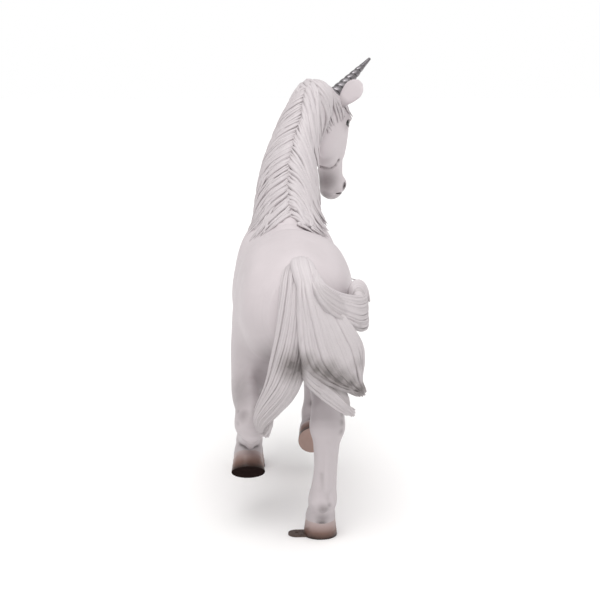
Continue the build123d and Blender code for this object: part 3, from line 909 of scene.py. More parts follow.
# Forms of the head: level and shares of the half width and half depth, half sizes and blend
head_swells = (
    ((3.9, 0.50, -0.50), (0.038, 0.070, 0.082), 0.018),
    ((2.70, 0.72, 0.48), (0.020, 0.032, 0.018), 0.018),
    ((4.6, 0.70, 0.40), (0.012, 0.020, 0.050), 0.018),
    ((7.9, 0.60, 0.55), (0.020, 0.030, 0.030), 0.014),
    ((8.6, 0.40, 0.15), (0.022, 0.036, 0.020), 0.012),
)
head_ridges = (
    ((5.4, 0, 0.72), (0.024, 0.020, 0.110), 0.020),
    ((8.2, 0, 0.60), (0.030, 0.024, 0.028), 0.014),
    ((8.7, 0, -0.50), (0.028, 0.024, 0.020), 0.012),
)
head_hollows = (
    ((2.9, 1.16, -0.10), (0.014, 0.026, 0.030), 0.02),
    ((8.15, 1.0, 0.62), (0.013, 0.010, 0.019), 0.004),
    ((9.0, 1.0, 0.30), (0.018, 0.030, 0.0008), 0.004),
)
muzzle_level = 8.55
lid_radius = 0.0255
eye_radius = 0.0208


def head_forms(clay, forms, side, hollow=False):
    """Adds or carves the forms of a table on one side of the head."""
    for (level, side_share, front_share), radii, blend in forms:
        spot = on_head(level, side * side_share, front_share)
        clay.ball(spot, radii, blend, head_turned, hollow)


def sculpt_head(clay):
    """The head with its jaws, brows, nose and mouth."""
    muzzle_end = along(head_rows, muzzle_level)
    clay.chain(np.vstack([head_rows[:9], muzzle_end]), 0.028, side=head_side)
    for side, forms in ((-1, head_swells), (1, head_swells), (1, head_ridges)):
        head_forms(clay, forms, side)
    for side in (-1, 1):
        crease = [[*on_head(*spot), 0.006, 0.006] for spot in jaw_crease(side)]
        clay.chain(crease, 0.004, hollow=True)
        head_forms(clay, head_hollows, side, hollow=True)
        eye = on_head(3, side * 0.78, 0.34)
        clay.ball(eye, (lid_radius,) * 3, 0.010)
        brow = eye + head_front * 0.020 + upward * 0.016
        clay.ball(brow, (0.016, 0.026, 0.010), 0.010, head_turned)
        clay.ball(eye, (eye_radius,) * 3, 0.0, hollow=True)
        outward = head_side * side * 0.92 + head_front * 0.30
        opening = eye + outward * 0.020
        clay.ball(opening, (0.016, 0.0200, 0.0145), 0.003, head_turned, hollow=True)


# Spots of painted shade: place, radius and strength. On the head the place is a level with shares
# of the half width and half depth, and the paired spots are on both its sides
head_shade_spots = (
    ((9.4, 0, 0), 0.036, 0.80),
    ((9.0, 0, 0.6), 0.030, 0.60),
    ((9.2, 0, -0.8), 0.034, 0.75),
)
paired_shade_spots = (
    ((8.15, 0.96, 0.60), 0.014, 1.6),
    ((7.5, 0.40, -0.95), 0.056, 0.75),
    ((8.4, 0.75, -0.45), 0.034, 0.38),
    ((9.0, 0.95, 0.2), 0.014, 0.30),
    ((3, 0.95, 0.34), 0.024, 0.45),
    ((5.6, 0.50, -0.80), 0.034, 0.30),
)
leg_shade_spots = (
    ((0.040, 0.46, 0.66), 0.085, 0.75),
    ((0.060, 0.42, 0.53), 0.070, 0.70),
    ((0.075, 0.46, 0.78), 0.080, 0.28),
    ((0.110, 0.45, 0.45), 0.060, 0.60),
    ((0.180, 0.46, 0.45), 0.030, 0.40),
    ((0.165, 0.34, 0.36), 0.050, 0.35),
    ((-0.085, 0.46, 0.078), 0.026, 0.45),
    ((0.185, 0.40, 0.52), 0.090, 0.42),
    ((0.185, 0.36, 0.63), 0.080, 0.18),
)


fine_shade_radius = 0.0085


def shade_spot_places():
    """Middles, radii and strengths of the spots of painted shade."""
    places = [(np.array(spot), *mark) for spot, *mark in leg_shade_spots]
    places += [(on_head(*spot), *mark) for spot, *mark in head_shade_spots]
    for side in (-1, 1):
        for (level, side_share, front_share), *mark in paired_shade_spots:
            places.append((on_head(level, side * side_share, front_share), *mark))
        places += [(on_head(*spot), fine_shade_radius, 0.70) for spot in jaw_crease(side)]
    # Painted shade behind the coronets and fetlocks, over the hooves, on the hocks and down the
    # backs of the hind legs
    for name, rows in leg_rows.items():
        coronet = leg_coronet[name]
        back = behind(rows, coronet - 0.4)
        places.append((along(rows, coronet - 0.3)[:3] + back * 0.048, 0.020, 0.75))
        fetlock = along(rows, coronet - fetlock_above)[:3]
        places.append((fetlock + back * 0.055, 0.016, 0.70))
        places.append((along(rows, coronet + 0.1)[:3], 0.058, 0.30))
        if name.startswith("hind"):
            places.append((off_back(rows, hock, -0.03), 0.040, 0.30))
            outer = across * (-1 if name.endswith("right") else 1)
            for spot in (5.4, 5.8, 6.2):
                row = along(rows, spot)
                side_spot = row[:3] + outer * row[3] * 0.80 + behind(rows, spot) * row[4] * 0.55
                places.append((side_spot, 0.011, 0.55))
            for n in range(12):
                spot = 8.2 + 1.8 * n / 11
                row = along(rows, spot)
                swing = across * row[3] * (0.36 - 0.72 * n / 11)
                line_spot = row[:3] + swing + behind(rows, spot) * row[4] * 0.95
                places.append((line_spot, fine_shade_radius, 0.24 if n < 11 else 0.60))
    return places


body_low = (-0.29, -0.93, 0.02)
body_high = (0.29, 0.60, 1.60)
head_low = (-0.34, -0.97, 1.00)
head_high = (0.07, -0.50, 1.63)
neck_cut = (neck_rows[2, :3], heading(neck_rows, 2))
head_cut = (np.array([-0.108, -0.683, 1.40]), unit(np.array([-0.60, -0.72, 0.35])))
neck_cut_reach = 0.36
head_cut_reach = 0.24
leg_cut_reach = 0.17
body_rounds = 6
head_rounds = 1
poll_top = head_rows[0, :3] + upward * 0.004
poll_side = np.array([-0.144, -0.55, 1.5475])
poll_slope = np.array([-0.667, 0.0, 0.745])
clays = {}


def sculpt_top(clay):
    """The neck and the head, cut off level on top and slanting on the right of the poll."""
    sculpt_neck(clay)
    sculpt_head(clay)
    clay.slab(poll_top, upward, 0.03)
    clay.slab(poll_side, poll_slope, 0.02)


def body_clay():
    """The sculpted body, made once."""
    if "body" not in clays:
        clay = Clay(body_low, body_high, settings().body_step)
        sculpt_trunk(clay)
        for name in leg_rows:
            sculpt_leg(clay, name)
        sculpt_flanks(clay)
        sculpt_top(clay)
        clays["body"] = clay
    return clays["body"]


def head_clay():
    """The sculpted head with the top of the neck, made once."""
    if "head" not in clays:
        clay = Clay(head_low, head_high, settings().head_step)
        sculpt_top(clay)
        clays["head"] = clay
    return clays["head"]


def bmesh_of(points, faces):
    """A mesh ready to be edited, from points and faces."""
    mesh = bmesh.new()
    skin = bpy.data.meshes.new("skin")
    skin.from_pydata(points.tolist(), [], faces)
    mesh.from_mesh(skin)
    bpy.data.meshes.remove(skin)
    return mesh


def islands(points, faces, cuts, seeds):
    """Splits a surface along planes near points, and gives the closed piece nearest each seed."""
    mesh = bmesh_of(points, faces.tolist())
    for point, normal, reach in cuts:
        point = Vector(point)
        normal = Vector(normal)
        crossing = {}
        for face in mesh.faces:
            away = (face.calc_center_median() - point).length
            if away < reach and len({(v.co - point).dot(normal) > 0 for v in face.verts}) > 1:
                crossing[face] = away
        ring = {min(crossing, key=crossing.get): None}
        stack = list(ring)
        while stack:
            for edge in stack.pop().edges:
                for face in edge.link_faces:
                    if face in crossing and face not in ring:
                        ring[face] = None
                        stack.append(face)
        around = dict(ring)
        for face in ring:
            around.update(dict.fromkeys(face.edges))
            around.update(dict.fromkeys(face.verts))
        found = bmesh.ops.bisect_plane(
            mesh, geom=list(around), plane_co=point, plane_no=normal, dist=1e-5
        )
        lines = [e for e in found["geom_cut"] if isinstance(e, bmesh.types.BMEdge)]
        bmesh.ops.split_edges(mesh, edges=lines)
    mesh.verts.ensure_lookup_table()
    mesh.verts.index_update()
    label = [-1] * len(mesh.verts)
    count = 0
    for start in mesh.verts:
        if label[start.index] >= 0:
            continue
        stack = [start]
        label[start.index] = count
        while stack:
            here = stack.pop()
            for edge in here.link_edges:
                other = edge.other_vert(here)
                if label[other.index] < 0:
                    label[other.index] = count
                    stack.append(other)
        count += 1
    label = np.array(label)
    spots = np.array([v.co for v in mesh.verts])
    pieces = {}
    for name, seed in seeds.items():
        nearest = np.argmin(((spots - np.array(seed)) ** 2).sum(axis=1))
        wanted = label[nearest]
        chosen = np.nonzero(label == wanted)[0]
        new_index = np.full(len(spots), -1)
        new_index[chosen] = np.arange(len(chosen))
        kept = [
            [new_index[v.index] for v in f.verts]
            for f in mesh.faces
            if label[f.verts[0].index] == wanted
        ]
        pieces[name] = (spots[chosen], kept)
    mesh.free()
    return pieces


def capped(points, faces):
    """A surface with its open rings closed."""
    mesh = bmesh_of(points, faces)
    open_edges = [e for e in mesh.edges if e.is_boundary]
    if open_edges:
        bmesh.ops.holes_fill(mesh, edges=open_edges, sides=0)
        wide = [f for f in mesh.faces if len(f.verts) > 4]
        bmesh.ops.triangulate(mesh, faces=wide)
    left = sum(1 for e in mesh.edges if e.is_boundary)
    mesh.verts.index_update()
    new_points = np.array([v.co for v in mesh.verts])
    new_faces = [[v.index for v in f.verts] for f in mesh.faces]
    mesh.free()
    if left:
        raise RuntimeError(f"{left} edges of a skin stay open")
    return new_points, new_faces


# The painted shade of the skin: hollows that a narrow and a wide filling find, and painted shade
# that deepens towards the ground from a height over a depth, as less light falls low on the body
near_rounds = 5
near_start = 0.0003
near_full = 0.0008
wide_rounds = 36
wide_full = 0.0050
low_painted_shade = 0.22
low_painted_shade_top = 0.90
low_painted_shade_depth = 0.60
wash_limit = 0.82


def skin_piece(name, clay, points, faces, nodes):
    """A closed painted skin in the place of its frame pieces."""
    points, faces = capped(points, faces)
    directions = clay.slope(points)
    thing = mesh_object(name, points, faces, "skin", directions)
    # Painted shade in the narrow and wide hollows, lower down the body and at the spots of painted
    # shade
    near = (recess(points, faces, directions, near_rounds) - near_start) / near_full
    wide = recess(points, faces, directions, wide_rounds) / wide_full
    level = np.clip((low_painted_shade_top - points[:, 2]) / low_painted_shade_depth, 0.0, 1.0)
    hollows = np.clip(near, 0, 1) * 0.40 + np.clip(wide, 0, 1) * 0.30
    spot_shade = painted_shade_spots(points)
    wash = np.clip(hollows + low_painted_shade * level + spot_shade, 0.0, np.maximum(spot_shade, wash_limit))
    shade(thing, wash=wash * settings().wash_strength)
    finish_piece(thing, nodes)


# Hooves, ears and horn

# The wall runs on past the sole and up into the leg before it is cut, and is drawn in on top
hoof_room = 0.105
hoof_overrun = 0.5
hoof_sunk_share = 0.12
hoof_top_inset = 0.0035
hoof_edge_inset = 0.0015
pale_soled_hoof = "fore_right"


def make_hoof(name):
    """One hoof with its wall, heel and sole."""
    rows = leg_rows[name]
    coronet = rows[-2]
    sole = rows[-1]
    raised = sole[2] > limb_width
    axis = sole[:3] - coronet[:3]
    down = unit(axis) if raised else -upward
    back = unit(-np.cross(down, across))
    beyond = sole.copy()
    beyond[:3] += axis * hoof_overrun
    beyond[3:] += (sole[3:] - coronet[3:]) * hoof_overrun
    top = coronet.copy()
    top[:3] -= axis * hoof_sunk_share
    top[3:] = coronet[3:] - hoof_top_inset
    edge = coronet.copy()
    edge[3:] -= hoof_edge_inset
    clay = Clay(
        np.minimum(coronet[:3], sole[:3]) - hoof_room,
        np.maximum(coronet[:3], sole[:3]) + hoof_room,
        settings().hoof_step,
    )
    clay.chain([top, edge, sole, beyond], 0.0)
    turn = np.array([across, back, down])
    heel = coronet[:3] + axis * 0.42 + back * coronet[4] * 0.60
    clay.ball(heel, (0.044, 0.026, 0.026), 0.012, turn)
    clay.slab(coronet[:3] - down * 0.002, -down)
    clay.slab(sole[:3] - down * 0.0005, down)
    if raised:
        dish = sole[:3] - back * 0.004 + down * 0.004
        clay.ball(dish, (0.044, 0.046, 0.009), 0.003, turn, hollow=True)
    thing, points, _, directions = cast(f"{name}_hoof_finish", clay, "hoof")
    height = (points - coronet[:3]) @ down / np.linalg.norm(axis)
    facing = directions @ down
    inner = np.clip((facing - 0.25) * 3.0, 0.0, 1.0) * (height > 0.75)
    pale = np.full(len(points), 1.0 if name == pale_soled_hoof else 0.0)
    shade(thing, drop=np.clip(height, 0, 1), sole=inner, pale_sole=pale)
    finish_piece(thing, [f"{name}_hoof"])


ear_root_level = 2
ear_root_side = 0.98
ear_root_front = 0.08
ear_length = 0.125
ear_width = 0.078
ear_thickness = 0.024
ear_room = 0.17
ear_pointing = (0.60, 0.30, 0.74)
ear_cup = (0.020, 0.011, 0.050)
ear_sections = (
    (-0.12, 0.42, 0.80),
    (0.12, 0.66, 1.00),
    (0.38, 1.00, 0.86),
    (0.62, 1.14, 0.66),
    (0.82, 0.92, 0.48),
    (0.95, 0.46, 0.28),
)


def make_ear(name, sign):
    """One leaf-shaped ear, hollow in front."""
    root = on_head(ear_root_level, sign * ear_root_side, ear_root_front)
    aside, ahead, up = ear_pointing
    pointing = unit(head_side * (sign * aside) + head_front * ahead + upward * up)
    breadth = unit(np.cross(pointing, head_front))
    facing = np.cross(breadth, pointing)
    rows = [
        [*(root + pointing * (share * ear_length)), w * ear_width / 2, t * ear_thickness / 2]
        for share, w, t in ear_sections
    ]
    clay = Clay(root - ear_room, root + ear_room, settings().ear_step)
    clay.chain(rows, 0.0, side=breadth)
    if facing.dot(head_front) < 0:
        facing = -facing
    turn = np.array([breadth, facing, pointing])
    cup = root + pointing * (0.52 * ear_length) + facing * 0.012
    clay.ball(cup, ear_cup, 0.004, turn, hollow=True)
    thing, points, faces, directions = cast(f"{name}_finish", clay, "skin")
    # Painted shade in the hollow of the ear and at its root
    wash = np.clip(recess(points, faces, directions, 12) / 0.0012, 0, 1) * 0.5
    root_shade = np.clip(1.0 - ((points - root) @ pointing) / 0.035, 0, 1) * 0.5
    shade(thing, wash=np.clip(wash + root_shade, 0, 1) * settings().wash_strength)
    finish_piece(thing, [name])


horn_rise = math.radians(30)
horn_root_front = 0.80
horn_length = 0.30
horn_base_radius = 0.032
horn_tip_radius = 0.0065
horn_sides = 40
horn_rings = 220
horn_sunk_share = 0.03
groove_width = 0.62
groove_end_share = 0.84
groove_fade_share = 0.14
ridge_swell = 0.10


def make_horn():
    """A tapered horn with one spiral band that fades out towards the smooth tip."""
    root = (on_head(1, 0, horn_root_front) + on_head(2, 0, horn_root_front)) / 2
    direction = head_front * math.cos(horn_rise) + upward * math.sin(horn_rise)
    second = np.cross(direction, head_side)
    points = []
    depths = []
    for n in range(horn_rings + 1):
        share = n / horn_rings
        way = share * (1 + horn_sunk_share) - horn_sunk_share
        spot = root + direction * (way * horn_length)
        radius = horn_base_radius + (horn_tip_radius - horn_base_radius) * share
        fade = np.clip((groove_end_share - share) / groove_fade_share, 0.0, 1.0)
        for m in range(horn_sides):
            angle = math.tau * m / horn_sides
            phase = (angle - math.tau * share * horn_length / settings().horn_pitch) % math.tau
            groove = math.exp(-((min(phase, math.tau - phase) / groove_width) ** 2))
            swell = 0.5 - 0.5 * math.cos(phase)
            level = 1.0 - settings().horn_groove * groove * fade + ridge_swell * swell * fade
            outward = head_side * math.cos(angle) + second * math.sin(angle)
            points.append(spot + outward * radius * level)
            depths.append(groove * fade * 0.85)
    faces = []
    for n in range(horn_rings):
        for m in range(horn_sides):
            a = n * horn_sides + m
            b = n * horn_sides + (m + 1) % horn_sides
            faces.append([a, b, b + horn_sides, a + horn_sides])
    low = len(points)
    points.append(root - direction * horn_sunk_share * horn_length)
    points.append(root + direction * (horn_length + 0.001))
    depths += [0.0, 0.0]
    last = horn_rings * horn_sides
    for m in range(horn_sides):
        after = (m + 1) % horn_sides
        faces.append([low, after, m])
        faces.append([low + 1, last + m, last + after])
    thing = mesh_object("horn_finish", points, faces, "horn")
    # The grooves of the spiral are darkened with painted shade
    shade(thing, wash=np.clip(depths, 0, 1))
    finish_piece(thing, ["horn"])


# Hair

hair_sockets = (
    ("Strands", "INPUT", "Geometry"),
    ("Sides", "INPUT", "Int"),
    ("Thickness", "INPUT", "Float"),
    ("Unevenness", "INPUT", "Float"),
    ("Seed", "INPUT", "Float"),
    ("Paint", "INPUT", "Material"),
    ("Hair", "OUTPUT", "Geometry"),
)
hair_nodes = {
    "start": "NodeGroupInput",
    "end": "NodeGroupOutput",
    "circle": "GeometryNodeCurvePrimitiveCircle",
    "sweep": "GeometryNodeCurveToMesh",
    "noise": "ShaderNodeTexNoise",
    "centred": "ShaderNodeVectorMath",
    "scaled": "ShaderNodeVectorMath",
    "shift": "GeometryNodeSetPosition",
    "whole": "GeometryNodeRealizeInstances",
    "paint": "GeometryNodeSetMaterial",
}
hair_links = (
    ("start", "Sides", "circle", "Resolution"),
    ("start", "Thickness", "circle", "Radius"),
    ("start", "Strands", "sweep", "Curve"),
    ("circle", "Curve", "sweep", "Profile Curve"),
    ("start", "Seed", "noise", "W"),
    ("noise", "Color", "centred", 0),
    ("centred", "Vector", "scaled", 0),
    ("start", "Unevenness", "scaled", "Scale"),
    ("sweep", "Mesh", "shift", "Geometry"),
    ("scaled", "Vector", "shift", "Offset"),
    ("shift", "Geometry", "whole", "Geometry"),
    ("whole", "Geometry", "paint", "Geometry"),
    ("start", "Paint", "paint", "Material"),
    ("paint", "Geometry", "end", "Hair"),
)
unevenness_scale = 34.0


def hair_tree():
    """Geometry nodes that give each strand its thickness and unevenness."""
    name = "hair_strands"
    if name in bpy.data.node_groups:
        return bpy.data.node_groups[name]
    tree = bpy.data.node_groups.new(name, "GeometryNodeTree")
    for label, way, kind in hair_sockets:
        tree.interface.new_socket(label, in_out=way, socket_type=f"NodeSocket{kind}")
    nodes = {key: tree.nodes.new(kind) for key, kind in hair_nodes.items()}
    nodes["sweep"].inputs["Fill Caps"].default_value = True
    nodes["noise"].noise_dimensions = "4D"
    nodes["noise"].inputs["Scale"].default_value = unevenness_scale
    nodes["centred"].operation = "SUBTRACT"
    nodes["centred"].inputs[1].default_value = (0.5, 0.5, 0.5)
    nodes["scaled"].operation = "SCALE"
    for start, output, end, target in hair_links:
        tree.links.new(nodes[start].outputs[output], nodes[end].inputs[target])
    if "Scale" in nodes["sweep"].inputs:
        radius = tree.nodes.new("GeometryNodeInputRadius")
        tree.links.new(radius.outputs["Radius"], nodes["sweep"].inputs["Scale"])
    return tree


def comb(name, paths, seed):
    """A plain mesh of hair strands from paths of points with a thickness at each point."""
    curve = bpy.data.curves.new(name, "CURVE")
    curve.dimensions = "3D"
    for path in paths:
        spline = curve.splines.new("POLY")
        spline.points.add(len(path) - 1)
        corners = np.ones((len(path), 4), np.float32)
        corners[:, :3] = np.asarray(path)[:, :3] + origin_shift
        spline.points.foreach_set("co", corners.ravel())
        spline.points.foreach_set("radius", np.asarray(path, np.float32)[:, 3].copy())
    holder = bpy.data.objects.new(name + "_paths", curve)
    bpy.context.scene.collection.objects.link(holder)
    tree = hair_tree()
    modifier = holder.modifiers.new("hair", "NODES")
    modifier.node_group = tree
    wanted = {
        "Sides": settings().strand_sides,
        "Thickness": 1.0,
        "Unevenness": settings().strand_unevenness,
        "Seed": float(seed),
        "Paint": paint_of("hair"),
    }
    for item in tree.interface.items_tree:
        if item.in_out == "INPUT" and item.name in wanted:
            modifier[item.identifier] = wanted[item.name]
    bpy.context.view_layer.update()
    ready = holder.evaluated_get(bpy.context.evaluated_depsgraph_get())
    mesh = bpy.data.meshes.new_from_object(ready)
    mesh.name = name
    holder.modifiers.remove(modifier)
    bpy.data.objects.remove(holder)
    bpy.data.curves.remove(curve)
    if not len(mesh.polygons):
        raise RuntimeError(f"{name} has no strands")
    mesh.shade_smooth()
    if not mesh.materials:
        mesh.materials.append(paint_of("hair"))
    thing = bpy.data.objects.new(name, mesh)
    bpy.context.scene.collection.objects.link(thing)
    return thing


# Painted shade of the strands: its base, how much a crown facing out and a height over the clay
# take off, and its limit
strand_wash = 0.40
crown_share = 0.34
height_share = 0.22
strand_wash_limit = 0.30


def shade_strands(thing, clay, low, high):
    """Darkens the sides and roots of strands with painted shade and leaves their crowns light."""
    points = points_of(thing)
    outward = clay.slope(points)
    crown = (normals_of(thing) * outward).sum(axis=1)
    height = np.clip((clay.sample(points) - low) / (high - low), 0, 1)
    wash = strand_wash - crown_share * crown - height_share * height
    wash = np.clip(wash, 0.0, strand_wash_limit)
    wash = np.clip(wash + painted_shade_spots(points) * 0.3 + tail_wash(points), 0.0, wash_limit)
    shade(thing, wash=wash * settings().wash_strength)


def neck_spot(spot, angle, lift):
    """A point on the neck at a turn from its crest, to the left when positive."""
    row = along(neck_rows, spot)
    way = heading(neck_rows, spot)
    first = square_to(way)
    crest = np.cross(way, first)
    return (
        row[:3]
        + first * math.sin(angle) * (row[3] + lift)
        + crest * math.cos(angle) * (row[4] + lift)
    )


strand_root = 0.25
strand_rise = 0.18
strand_fall = 0.45
strand_fall_power = 0.8


def tapered(number, thick, tip=0.12):
    """Thicknesses along a strand, swelling from the root and fine at the tip."""
    share = np.linspace(0, 1, number)
    rise = np.clip(share / strand_rise, 0, 1)
    fall = np.clip((1 - share) / strand_fall, 0, 1) ** strand_fall_power
    return thick * (strand_root + (1 - strand_root) * rise) * (tip + (1 - tip) * fall)


laying_rounds = 6
raising_rounds = 12
raising_step = 0.012
easing_rounds = 2


def laid(points, clay, height):
    """Points laid on the clay at a height, and evened along their line."""
    for _ in range(laying_rounds):
        points = points + clay.slope(points) * (height - clay.sample(points))[:, None]
    return eased(points, easing_rounds)


def strand(points, thick, **ends):
    """A path of points with the thickness at each of them."""
    points = np.array(points)
    return np.hstack([points, tapered(len(points), thick, **ends)[:, None]])


def parting(spot):
    """The turn of the parting from the crest, which leaves it towards the poll."""
    return 0.45 * float(np.clip((spot - 4.8) / 1.4, 0.0, 1.0))


def mane_path(clay, start, end, first_angle, last_angle, sway, lift, flick, thick, count=24):
    """One strand of the mane laid on the neck from its parting."""
    share = np.linspace(0, 1, count)
    points = []
    for t in share:
        ease = t * t * (3 - 2 * t) * 0.5 + t * 0.5
        angle = parting(start) * (1 - ease) + first_angle + (last_angle - first_angle) * ease
        angle += sway * math.sin(math.tau * t)
        points.append(neck_spot(start + (end - start) * t, angle, 0.01))
    height = lift * np.clip(share / 0.15, 0, 1) - 0.002 + flick * share**3
    return strand(laid(np.array(points), clay, height), thick)


mane_start = 1.15


def left_mane_paths(clay, dice):
    """Fine parallel strands that fall down the left side of the neck."""
    paths = []
    count = settings().left_strands
    for n in range(count):
        share = n / (count - 1)
        start = mane_start + 5.75 * share + dice.uniform(-0.04, 0.04)
        drop = 0.95 + 0.35 * math.sin(math.pi * share) + dice.uniform(-0.10, 0.10)
        end = max(start - drop, 0.25 + dice.uniform(0, 0.30))
        reach = min(1.80, 0.50 + 0.90 * (start - mane_start)) + dice.uniform(-0.20, 0.15)
        sway = dice.uniform(-0.05, 0.02)
        thick = dice.uniform(0.0055, 0.0085)
        lift = dice.uniform(0.002, 0.006)
        paths.append(mane_path(clay, start, end, -0.06, reach, sway, lift, -0.004, thick))
        if n % 3 == 0:
            turn = 0.35 + dice.uniform(0, 0.3)
            lift = dice.uniform(0.005, 0.009)
            line = (start - 0.25, end - 0.05, turn, reach * 0.85, -sway, lift, -0.007)
            paths.append(mane_path(clay, *line, thick * 0.8))
    return paths


def right_mane_paths(clay, dice):
    """Thicker waving locks that fall down the right side and flick outwards."""
    paths = []
    count = settings().right_strands
    for n in range(count):
        share = n / (count - 1)
        start = mane_start + 5.5 * share + dice.uniform(-0.08, 0.08)
        drop = 0.90 + 1.15 * min(share * 2.0, 1.0) + dice.uniform(-0.15, 0.15)
        end = max(start - drop, 0.12 + dice.uniform(0, 0.30))
        reach = min(1.22, 0.45 + 0.50 * (start - mane_start)) + dice.uniform(-0.12, 0.20)
        sway = -0.12 + dice.uniform(-0.05, 0.05)
        thick = dice.uniform(0.0070, 0.0120)
        lift = dice.uniform(0.005, 0.011) + 0.007 * math.exp(-(((start - 4.6) / 1.2) ** 2))
        paths.append(mane_path(clay, start, end, 0.06, -reach, sway, lift, 0.0, thick, 28))
        if n % 3 == 0:
            turn = -0.25 - dice.uniform(0, 0.2)
            lift = dice.uniform(0.009, 0.014)
            line = (start - 0.2, end - 0.1, turn, -reach * 0.9, sway * 0.8, lift, 0.006)
            paths.append(mane_path(clay, *line, thick * 0.85, 28))
    return paths


poll_level = 0.1
round_head_reach = 1.6


def round_head(level, turn):
    """A point round a level of the head, turned from its back towards the right side."""
    side_share = -math.sin(turn) * round_head_reach
    return on_head(level, side_share, -math.cos(turn) * round_head_reach)


def poll_paths(clay, dice):
    """Locks that fall from the poll over the head behind the right ear."""
    paths = []
    count = settings().poll_strands
    for n in range(count):
        share = n / (count - 1)
        end_turn = math.radians(8 + 88 * share) + dice.uniform(-0.06, 0.06)
        end_level = 4.2 - 1.7 * share + dice.uniform(-0.4, 0.4)
        wave = dice.uniform(-0.10, 0.16)
        points = []
        shares = np.linspace(0, 1, 24)
        for t in shares:
            turn = end_turn - 0.9 * (1 - t) ** 2 + wave * math.sin(math.tau * t)
            points.append(round_head(poll_level + (end_level - poll_level) * t, turn))
        height = dice.uniform(0.002, 0.008) - 0.005 * shares**2
        points = laid(np.array(points), clay, height)
        paths.append(strand(points, dice.uniform(0.0065, 0.0100)))
    return paths


def forelock_paths(clay, dice):
    """The forelock between the ears and beside the horn."""
    paths = []
    for _ in range(settings().forelock_strands):
        start_turn = math.radians(dice.uniform(70, 250))
        end_turn = start_turn + math.radians(dice.uniform(5, 40))
        end_level = dice.uniform(1.6, 3.0)
        points = []
        shares = np.linspace(0, 1, 20)
        for t in shares:
            turn = start_turn + (end_turn - start_turn) * t
            points.append(round_head(poll_level + (end_level - poll_level) * t, turn))
        height = dice.uniform(0.001, 0.004) + 0.003 * shares**2
        points = laid(np.array(points), clay, height)
        paths.append(strand(points, dice.uniform(0.005, 0.008)))
    return paths


# Rows of the three locks of the tail, then the edges of the sheets of strands over them
tail_shares = {
    "tail_middle_lock": (
        ((-0.010, 0.465, 0.935), 0.34, 0.34),
        ((-0.040, 0.530, 0.965), 0.42, 0.36),
        ((-0.200, 0.590, 0.900), 0.56, 0.36),
        ((-0.380, 0.612, 0.820), 0.78, 0.38),
        ((-0.510, 0.615, 0.740), 0.88, 0.38),
        ((-0.560, 0.612, 0.660), 0.92, 0.36),
        ((-0.580, 0.608, 0.605), 0.66, 0.30),
        ((-0.560, 0.604, 0.565), 0.46, 0.26),
        ((-0.680, 0.598, 0.525), 0.35, 0.22),
        ((-0.800, 0.592, 0.488), 0.14, 0.10),
    ),
    "tail_left_lock": (
        ((0.020, 0.500, 0.975), 0.30, 0.20),
        ((0.060, 0.545, 0.940), 0.42, 0.28),
        ((0.070, 0.575, 0.860), 0.50, 0.32),
        ((0.100, 0.585, 0.760), 0.56, 0.34),
        ((0.170, 0.585, 0.660), 0.60, 0.34),
        ((0.290, 0.580, 0.575), 0.56, 0.32),
        ((0.480, 0.570, 0.510), 0.45, 0.26),
        ((0.620, 0.560, 0.460), 0.33, 0.18),
        ((0.650, 0.555, 0.420), 0.14, 0.08),
    ),
    "tail_right_lock": (
        ((-0.080, 0.505, 0.965), 0.22, 0.18),
        ((-0.240, 0.560, 0.920), 0.28, 0.22),
        ((-0.450, 0.590, 0.868), 0.34, 0.26),
        ((-0.700, 0.585, 0.835), 0.36, 0.26),
        ((-0.920, 0.555, 0.822), 0.34, 0.24),
        ((-1.040, 0.510, 0.828), 0.24, 0.18),
    ),
}


swept_edges = (
    (
        (-0.035, 0.520, 0.985), (-0.054, 0.590, 0.962), (-0.080, 0.635, 0.924),
        (-0.122, 0.635, 0.898), (-0.164, 0.605, 0.880), (-0.205, 0.560, 0.870),
        (-0.229, 0.510, 0.880), (-0.216, 0.485, 0.905), (-0.184, 0.500, 0.912),
    ),
    (
        (-0.032, 0.520, 0.975), (-0.042, 0.620, 0.922), (-0.069, 0.655, 0.864),
        (-0.112, 0.650, 0.821), (-0.160, 0.625, 0.789), (-0.203, 0.575, 0.763),
        (-0.229, 0.515, 0.758), (-0.235, 0.460, 0.772), (-0.226, 0.430, 0.787),
    ),
)
tuft_edges = (
    (
        (0.110, 0.540, 0.500), (0.116, 0.548, 0.460), (0.116, 0.548, 0.425),
        (0.118, 0.545, 0.404),
    ),
    (
        (0.090, 0.540, 0.480), (0.094, 0.548, 0.450), (0.098, 0.548, 0.425),
        (0.108, 0.545, 0.400),
    ),
)
tip_rows = (
    (-0.120, 0.612, 0.665, 0.030, 0.020),
    (-0.165, 0.610, 0.622, 0.022, 0.016),
    (-0.194, 0.602, 0.588, 0.013, 0.010),
    (-0.210, 0.592, 0.562, 0.005, 0.005),
)
root_edges = (
    (
        (0.018, 0.470, 0.985), (0.026, 0.530, 0.958), (0.018, 0.590, 0.900),
        (0.004, 0.625, 0.830),
    ),
    (
        (-0.034, 0.470, 0.982), (-0.048, 0.535, 0.950), (-0.072, 0.600, 0.890),
        (-0.100, 0.635, 0.820),
    ),
)
